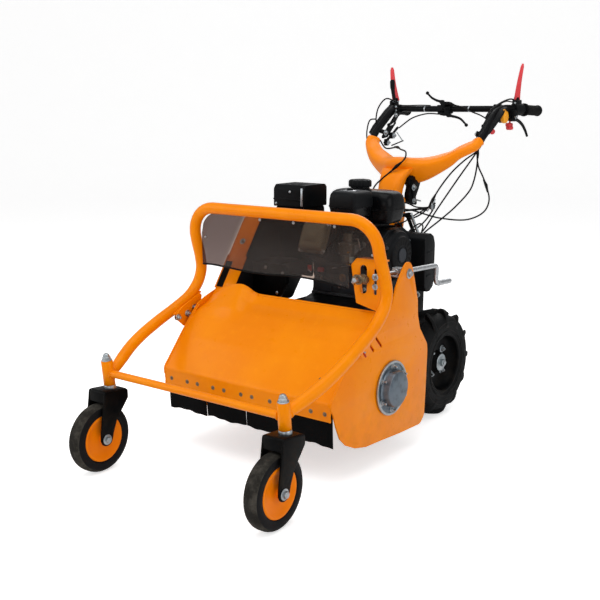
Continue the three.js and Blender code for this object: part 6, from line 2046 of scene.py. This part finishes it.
for sign, side in SIDES:
    start, end = Vec((sign * 273, 486, 1053.7)), Vec((sign * 284, 594, 1050))
    length = (end - start).length
    profile = [(13.7, 0), (22.6, 0), (24, 1.4), (24, 5.4), (22.6, 7), (19.4, 8)]
    ribs = 15
    pitch = (length - 26) / ribs
    for i in range(ribs):
        h = 12 + i * (length - 26) / ribs
        profile += [(18.8, h), (18.8, h + pitch * 0.55), (17.8, h + pitch * 0.68),
                    (17.8, h + pitch * 0.90)]
    profile += [(18.9, length - 11), (20.4, length - 9), (20.8, length - 5), (19, length - 1),
                (14, length), (0, length + 0.4)]
    # the profile starts off the axis and ends on it, so the inboard end stays open
    with Piece("grip_" + side + "_rubber", GRIP, body="handlebar", smooth=40,
               replaces="grip_" + side) as part:
        part.lathe(profile, start, (end - start).normalized(), 32)

# ------------------------------------------------------------------ levers
for sign, side in SIDES:
    base = Vec((sign * 258, 458, 1086))
    with Piece("red_lever_blade_" + side, RED, body="red_lever_" + side, smooth=55,
               replaces="red_lever_" + side) as part:
        path, sizes = [], []
        wide = 1.0 if sign > 0 else 1.3
        for i in range(13):
            t, tip = i / 12, 1 if i < 12 else 0.55
            path.append(base + Vec((sign * 19 * t, -4 * t - 10 * math.sin(math.pi * t) * 0.5,
                                    lerp(2, 132, t))))
            sizes.append((wide * lerp(11.5, 5.6, t ** 0.8) * tip, lerp(7.6, 4.2, t) * tip))
        part.strip(path, sizes, (0.8, 0.6, 0))
    with Piece("red_lever_pivot_" + side, SATIN, ZINC, body="red_lever_" + side,
               smooth=40) as part:
        part.box(base - Vec((10, 9, 9)), base + Vec((10, 9, 14)), 4, seg=3)
        part.use(ZINC).rod(base + Vec((-13, 0, 0)), base + Vec((13, 0, 0)), 4, 16, cap=1)

with Piece("shift_lever_arm", PLASTIC, body="shift_lever", smooth=50,
           replaces="shift_lever") as part:
    path, sizes = [], []
    for i in range(12):
        t, tip = i / 11, 1 if i < 11 else 0.6
        path.append(Vec((-242, 424, 1084)) + Vec((-10 * t - 4 * math.sin(math.pi * t), -6 * t,
                                                  lerp(-1, 86, t))))
        sizes.append(((lerp(6.2, 8.6, t) + (1.6 if t > 0.55 else 0)) * tip,
                      lerp(5.4, 7.4, t) * tip))
    part.strip(path, sizes, (0.8, 0.6, 0))
with Piece("shift_lever_perch", SATIN, ZINC, body="handlebar", smooth=36) as part:
    for x0, x1 in ((-256, -253), (-232, -229)):
        part.plate(rounded([(414, 1062), (434, 1062), (431, 1090), (417, 1090)], 5), x0, x1,
                   bevel=0.5)
    part.use(ZINC).rod((-259, 424, 1084), (-226, 424, 1084), 3, 16, cap=0.8)

# Small levers on the crossbar: pivot, then (x, z) offsets along the arm
HAND_LEVERS = {
    "hand_lever_1": ((-8, 380, 1082), [(6, -8), (0, 0), (-10, 3), (-22, 6), (-32, 10),
                                       (-44, 16), (-54, 24), (-64, 34)]),
    "hand_lever_2": ((22, 380, 1034), [(-6, 8), (0, 0), (12, -3.4), (26, -6), (38, -9),
                                       (50, -14), (62, -24), (74, -36)]),
}


def tapered(points, start, end):
    """Radii that shrink evenly along a path."""
    return [lerp(start, end, i / (len(points) - 1)) for i in range(len(points))]


for name, (pivot, offsets) in HAND_LEVERS.items():
    with Piece(name + "_arm", SATIN, body=name, smooth=50, replaces=name) as part:
        path = spline([Vec(pivot) + Vec((x, 0, z)) for x, z in offsets], 4)
        part.tube(path, tapered(path, 5.6, 3.6), 16, cap=1)
        part.lathe([(0, -6.6), (3.4, -5.8), (6, -3), (6.8, 0), (6, 3), (3.4, 5.8), (0, 6.6)],
                   path[-1], REAR, 22)
        part.lathe([(0, -7), (7.4, -7), (8.4, -6), (8.4, 6), (7.4, 7), (0, 7)], pivot, REAR, 22)
with Piece("hand_lever_perches", SATIN, ZINC, PLASTIC, body="handlebar", smooth=40) as part:
    # (x, upright block z range, lever block x range, its mid z)
    for x, (z0, z1), (x0, x1), z in ((-2, (1057, 1081), (-8, 20), 1078),
                                     (14, (1034, 1057), (-2, 22), 1037)):
        part.lathe([(11.7, -11), (17, -11), (18, -10), (18, 10), (17, 11), (11.7, 11)],
                   (x, CROSSBAR_Y, CROSSBAR_Z), LEFT, 28)
        part.box((x - 9, 371, z0), (x + 9, 389, z1), 3)
        part.box((x0, 372, z - 6), (x1, 390, z + 6), 3)
        part.hexnut((x, 371, CROSSBAR_Z), FRONT, 8, 4)
    for base, axis in (((18, 381, 1078), (1, 0.05, -0.28)), ((0, 381, 1038), (-1, 0.05, 0.12))):
        part.lathe([(0, 0), (6, 0), (6.6, 1), (6.6, 12), (4.4, 20), (3.4, 26), (0, 26)],
                   base, unit(axis), 18)
    part.use(PLASTIC).box((-36, 386, 1044), (-14, 410, 1072), 5, seg=3)

BRAKE = Vec((262, 424, 1022))
with Piece("brake_lever_arm", SATIN, body="brake_lever", smooth=50,
           replaces="brake_lever") as part:
    path = spline([BRAKE + Vec(offset) for offset in (
        (-2, -12, 4), (0, 0, 0), (2, 34, -6), (4, 72, -22), (4, 104, -46), (4, 122, -66))], 4)
    part.tube(path, tapered(path, 7.0, 4.4), 16, cap=1.5)
    part.lathe([(0, -9), (9, -9), (10, -8), (10, 8), (9, 9), (0, 9)], BRAKE, LEFT, 24)
with Piece("brake_lever_perch", PLASTIC, ZINC, body="handlebar", smooth=40) as part:
    part.box((250, 416, 1026), (274, 440, 1054), 4, seg=3)
    part.use(ZINC).hexnut((271.6, BRAKE.y, BRAKE.z + 6), LEFT, 8, 4)

THROTTLE = Vec((250, 372, 1028))
with Piece("throttle_knob", YELLOW, body="throttle_lever", smooth=45,
           replaces="throttle_lever") as part:
    part.lathe([(0, -7), (18, -7), (21, -5.4), (22.4, -2), (22.4, 4), (21, 8), (16, 10.4),
                (6, 11.4), (0, 11.4)], THROTTLE, LEFT, 44)
    part.strip([THROTTLE + Vec((3, y, z)) for y, z in ((-6, 12), (-5, 20), (-4, 25), (-4, 28))],
               [(8.5, 5.5), (8.0, 5.4), (6.5, 4.6), (3.2, 2.4)], (0, 1, 0.2))
with Piece("throttle_housing", PLASTIC, body="handlebar") as part:
    part.lathe([(0, 0), (19, 0), (21, 1.4), (21, 7), (19, 8.4), (0, 8.4)],
               THROTTLE + Vec((-17, 0, 0)), LEFT, 36)
with Piece("stop_switch_knob", RED, body="stop_switch", smooth=45,
           replaces="stop_switch") as part:
    centre = Vec((244, 436, 1006))
    part.box(centre - Vec((12, 14, 14)), centre + Vec((7, 16, 1)), 4.5, seg=3)
    part.lathe([(0, -12), (11.6, -12), (13, -14), (13.4, -19), (11.6, -23.4), (6, -25.4),
                (0, -25.6)], centre, UP, 30)
    part.rod(centre - Vec((0, 0, 4)), centre + Vec((0, 0, 12)), 3.6, 18)
with Piece("switch_mount", PLASTIC, RED, body="handlebar", smooth=40) as part:
    part.box((234, 424, 1014), (256, 448, 1046), 4, seg=3)
    part.use(RED).lathe([(0, 0), (8.5, 0), (10, 1.4), (10, 9), (8.6, 11), (0, 11.6)],
                        (232, 312, 980), unit((0.72, -0.5, -0.45)), 26)

# ------------------------------------------------------------------ cables
# name: (radius, points)
HANDLEBAR_CABLES = {
    "switch_lead": (2.6, [(-244, 242, 913), (-247, 232, 945), (-246, 230, 978),
                          (-244, 247, 1015), (-236, 277, 1019)]),
    "shift_cable_loop": (2.8, [(-236, 424, 1084), (-238, 347, 1095), (-246, 309, 1062),
                               (-248, 296, 1022), (-240, 290, 977), (-226, 268, 946)]),
    "lever_cable_low": (2.6, [(-190, 372, 984), (-172, 380, 1000), (-139, 384, 1022),
                              (-75, 386, 1039), (-9, 384, 1037), (0, 382, 1038)]),
    "lever_cable_right": (2.6, [(44, 381, 1071), (80, 384, 1062), (116, 384, 1046),
                                (152, 376, 1035), (195, 352, 1018), (222, 330, 1000)]),
    "control_cable_over": (2.8, [(236, 250, 1026), (240, 268, 1046), (248, 300, 1066),
                                 (256, 350, 1084), (262, 400, 1092), (264, 441, 1084)]),
    "control_cable_inner": (2.4, [(224, 262, 1004), (232, 290, 1040), (240, 330, 1066),
                                  (250, 384, 1084), (256, 420, 1082)]),
    "bar_lead": (2.0, [(-210, 386, 1071), (-160, 385, 1070), (-110, 387, 1071),
                       (-60, 385, 1070)]),
}
# Cables that run between the chassis and the handlebar, attached to neither
BENDING_CABLES = {
    "clutch_cable": [(236, 344, 1018), (230, 273, 959), (205, 264, 913), (180, 215, 879),
                     (155, 168, 838), (130, 136, 789), (115, 115, 751), (104, 96, 716),
                     (92, 50, 690), (70, 4, 676)],
    "throttle_cable": [(230, 349, 1011), (222, 274, 948), (200, 259, 902), (160, 198, 808),
                       (120, 137, 711), (100, 62, 631), (96, -20, 600)],
    "brake_cable": [(215, 243, 921), (205, 261, 860), (190, 272, 805), (180, 263, 769),
                    (150, 209, 710), (125, 145, 667), (100, 77, 626), (96, 10, 590)],
    "drive_cable": [(240, 344, 1014), (235, 270, 963), (215, 244, 914), (212, 255, 861),
                    (214, 290, 820), (215, 320, 785), (216, 348, 728), (205, 341, 690),
                    (180, 256, 663), (120, 154, 673), (75, 18, 711), (50, -20, 716)],
    "engine_cable": [(-205, 259, 940), (-170, 242, 912), (-100, 206, 917), (-40, 136, 914),
                     (21, 72, 906), (39, 30, 884), (4, 18, 850), (-40, -20, 800),
                     (-28, -70, 776), (-10, -150, 740)],
}
# Swellings on those cables: points, then the radius at each
SWELLINGS = {
    "drive_cable": [([(214, 300, 806), (215, 320, 785), (216, 334, 758)], [3.2, 6.0, 3.4]),
                    ([(214, 246, 922), (213, 247, 900), (212, 250, 884)], [3.2, 5.4, 3.4])],
    "engine_cable": [([(34, 24, 876), (16, 18, 860), (0, 16, 846)], [3.2, 6.4, 3.6]),
                     ([(-110, 210, 918), (-84, 190, 918), (-60, 160, 917)], [3.2, 5.6, 3.6])],
    "clutch_cable": [([(118, 120, 760), (112, 112, 742), (106, 102, 724)], [3.2, 6.0, 3.6])],
}
# millimetres; these leads ride with the chassis alone
COLUMN_LEADS = {
    "column_lead_a": (2.6, [(46, -20, 716), (70, -16, 738), (90, 40, 720), (105, 105, 717),
                            (114, 128, 729)]),
    "column_lead_b": (2.8, [(60, -60, 690), (80, -50, 662), (85, -30, 643), (90, 9, 639),
                            (100, 74, 665), (108, 116, 701), (112, 128, 722)]),
    "column_lead_c": (2.4, [(50, -44, 664), (80, -30, 674), (85, 2, 685), (95, 53, 702),
                            (108, 118, 720)]),
    "column_lead_d": (2.6, [(96, -60, 620), (104, -20, 650), (108, 30, 664), (104, 60, 650),
                            (98, 40, 606), (96, 0, 570)]),
}


def cable(name, points, radius, body, step=4, swellings=()):
    with Piece(name, CABLE, body=body, smooth=60) as part:
        part.tube(spline(points, step), radius, 12, cap=0.6)
        for path, radii in swellings:
            part.tube(path, radii, 14, cap=1)
    return part.object


for name, (radius, points) in HANDLEBAR_CABLES.items():
    cable(name, points, radius, "handlebar")
for name, points in BENDING_CABLES.items():
    ob = cable(name, points, 2.9, None, step=5, swellings=SWELLINGS.get(name, ()))
    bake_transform(ob)
for name, (radius, points) in COLUMN_LEADS.items():
    cable(name, points, radius, "chassis")

with Piece("cable_splitter", ZINC, BLACK, smooth=40) as part:
    part.box((100, 104, 708), (112, 132, 726), 2.2)
    part.rod((106, 96, 712), (106, 84, 704), 3.6, 14, cap=0.8)
    part.rod((106, 126, 726), (108, 134, 742), 3.8, 14, cap=0.8)
    part.hexnut((106, 120, 708), DOWN, 9, 5, end=4)
    part.use(BLACK).rod((46, 20, 706), (104, 108, 712), 4, 14, cap=1)
with Piece("shift_linkage", SATIN, ZINC, body="handlebar", smooth=40) as part:
    part.rod((-198, 279, 929), (-198, 329, 956), 5, 16, cap=1)
    part.rod((-198, 329, 956), (-198, 376, 986), 5, 16, cap=1)
    part.rod((-192, 323, 918), (-194, 413, 934), 2.6, 12, cap=1)
    part.box((-204, 318, 944), (-188, 344, 968), 4)
    part.box((-206, 286, 918), (-190, 304, 944), 4)
    part.use(ZINC).hexnut((-188, 331, 956), LEFT, 12, 6, end=3)
    part.hexnut((-190, 295, 930), LEFT, 10, 5, end=3)
    part.rod((-186, 350, 968), (-186, 392, 936), 2.2, 12)


# ------------------------------------------------------------------ floor, light, camera (metres)
VIEW_YAW = math.radians(37)
VIEW_PITCH = math.radians(11.66)


def floor_material():
    mat = bpy.data.materials.new("studio_floor")
    mat.use_nodes = True
    nodes, link = mat.node_tree.nodes, mat.node_tree.links.new
    bsdf = nodes["Principled BSDF"]
    bsdf.inputs["Roughness"].default_value = 0.7
    bsdf.inputs["Specular IOR Level"].default_value = 0.25
    place = nodes.new("ShaderNodeTexCoord")
    cloud = nodes.new("ShaderNodeTexNoise")
    cloud.inputs["Scale"].default_value = 3.0
    greys = nodes.new("ShaderNodeValToRGB")
    for element, grey in zip(greys.color_ramp.elements, (0.93, 0.955)):
        element.color = (grey, grey, grey, 1)
    link(place.outputs["Object"], cloud.inputs["Vector"])
    link(cloud.outputs["Fac"], greys.inputs["Fac"])
    link(greys.outputs["Color"], bsdf.inputs["Base Color"])
    # the camera alone sees the floor glow
    path = nodes.new("ShaderNodeLightPath")
    glow = nodes.new("ShaderNodeMath")
    glow.operation = "MULTIPLY"
    glow.inputs[1].default_value = 0.56
    link(path.outputs["Is Camera Ray"], glow.inputs[0])
    bsdf.inputs["Emission Color"].default_value = (1, 1, 1, 1)
    link(glow.outputs[0], bsdf.inputs["Emission Strength"])
    # seen from below the floor is clear, so that the underside can be looked at
    geometry = nodes.new("ShaderNodeNewGeometry")
    clear = nodes.new("ShaderNodeBsdfTransparent")
    mix = nodes.new("ShaderNodeMixShader")
    link(geometry.outputs["Backfacing"], mix.inputs[0])
    link(bsdf.outputs[0], mix.inputs[1])
    link(clear.outputs[0], mix.inputs[2])
    link(mix.outputs[0], nodes["Material Output"].inputs["Surface"])
    return mat


def studio_floor():
    """A flat floor that sweeps up into a wall, running away from the camera."""
    flat_end, sweep_r, half_width = 8.0, 4, 22
    sweep = [(flat_end + sweep_r * math.sin(a), sweep_r - sweep_r * math.cos(a))
             for a in [i * math.pi / 24 for i in range(1, 13)]]
    profile = [(-14, 0), (flat_end, 0), *sweep, (12, 14)]
    verts, faces = [], []
    for y, z in profile:
        verts += [(-half_width, y, z - 0.0006), (half_width, y, z - 0.0006)]
    for i in range(len(profile) - 1):
        faces.append((2 * i, 2 * i + 1, 2 * i + 3, 2 * i + 2))
    mat = floor_material()
    mesh = bpy.data.meshes.new("studio_floor")
    mesh.from_pydata(verts, [], faces)
    for polygon in mesh.polygons:
        polygon.use_smooth = True
    mesh.materials.append(mat)
    floor = bpy.data.objects.new("studio_floor", mesh)
    bpy.context.collection.objects.link(floor)
    floor.rotation_euler = (0, 0, VIEW_YAW)


def area_light(name, location, target, size, power):
    light = bpy.data.lights.new(name, "AREA")
    light.energy = power
    light.shape = "RECTANGLE"
    light.size = light.size_y = size
    ob = bpy.data.objects.new(name, light)
    bpy.context.collection.objects.link(ob)
    ob.location = location
    ob.rotation_euler = (Vec(target) - Vec(location)).to_track_quat("-Z", "Y").to_euler()


def white_world():
    """White surroundings: full to the camera, dimmer as light."""
    world = bpy.data.worlds.new("studio")
    bpy.context.scene.world = world
    world.use_nodes = True
    nodes, link = world.node_tree.nodes, world.node_tree.links.new
    background = nodes["Background"]
    background.inputs["Color"].default_value = (1, 1, 1, 1)
    path = nodes.new("ShaderNodeLightPath")
    strength = nodes.new("ShaderNodeMapRange")
    strength.inputs["To Min"].default_value = 0.42
    strength.inputs["To Max"].default_value = 1.05
    link(path.outputs["Is Camera Ray"], strength.inputs["Value"])
    link(strength.outputs["Result"], background.inputs["Strength"])


def main_camera():
    data = bpy.data.cameras.new("main_camera")
    data.sensor_width = 36
    data.sensor_fit = "HORIZONTAL"
    data.lens = 55.8
    camera = bpy.data.objects.new("main_camera", data)
    bpy.context.collection.objects.link(camera)
    camera.location = (1.7234, -2.80940 + 0.28714, 1.060)
    look = Vec((-math.sin(VIEW_YAW) * math.cos(VIEW_PITCH),
                math.cos(VIEW_YAW) * math.cos(VIEW_PITCH), -math.sin(VIEW_PITCH)))
    camera.rotation_euler = look.to_track_quat("-Z", "Y").to_euler()
    bpy.context.scene.camera = camera


studio_floor()
area_light("key_top", (0.3, -1.0, 3.6), target=(0, 0, 0.3), size=3.4, power=62)
area_light("fill_left", (-2.6, -2.6, 1.9), target=(0, -0.2, 0.5), size=2.4, power=34)
area_light("fill_right", (3.4, -0.4, 1.7), target=(0, 0, 0.5), size=2.4, power=26)
area_light("rim_back", (-0.8, 3.0, 2.4), target=(0, 0.2, 0.6), size=2.4, power=30)
area_light("fill_front", (1.1, -3.6, 0.75), target=(0, -0.4, 0.25), size=1.8, power=11)
white_world()
main_camera()
view = bpy.context.scene.view_settings
view.view_transform = "Standard"
view.look = "None"
view.exposure = 0.0
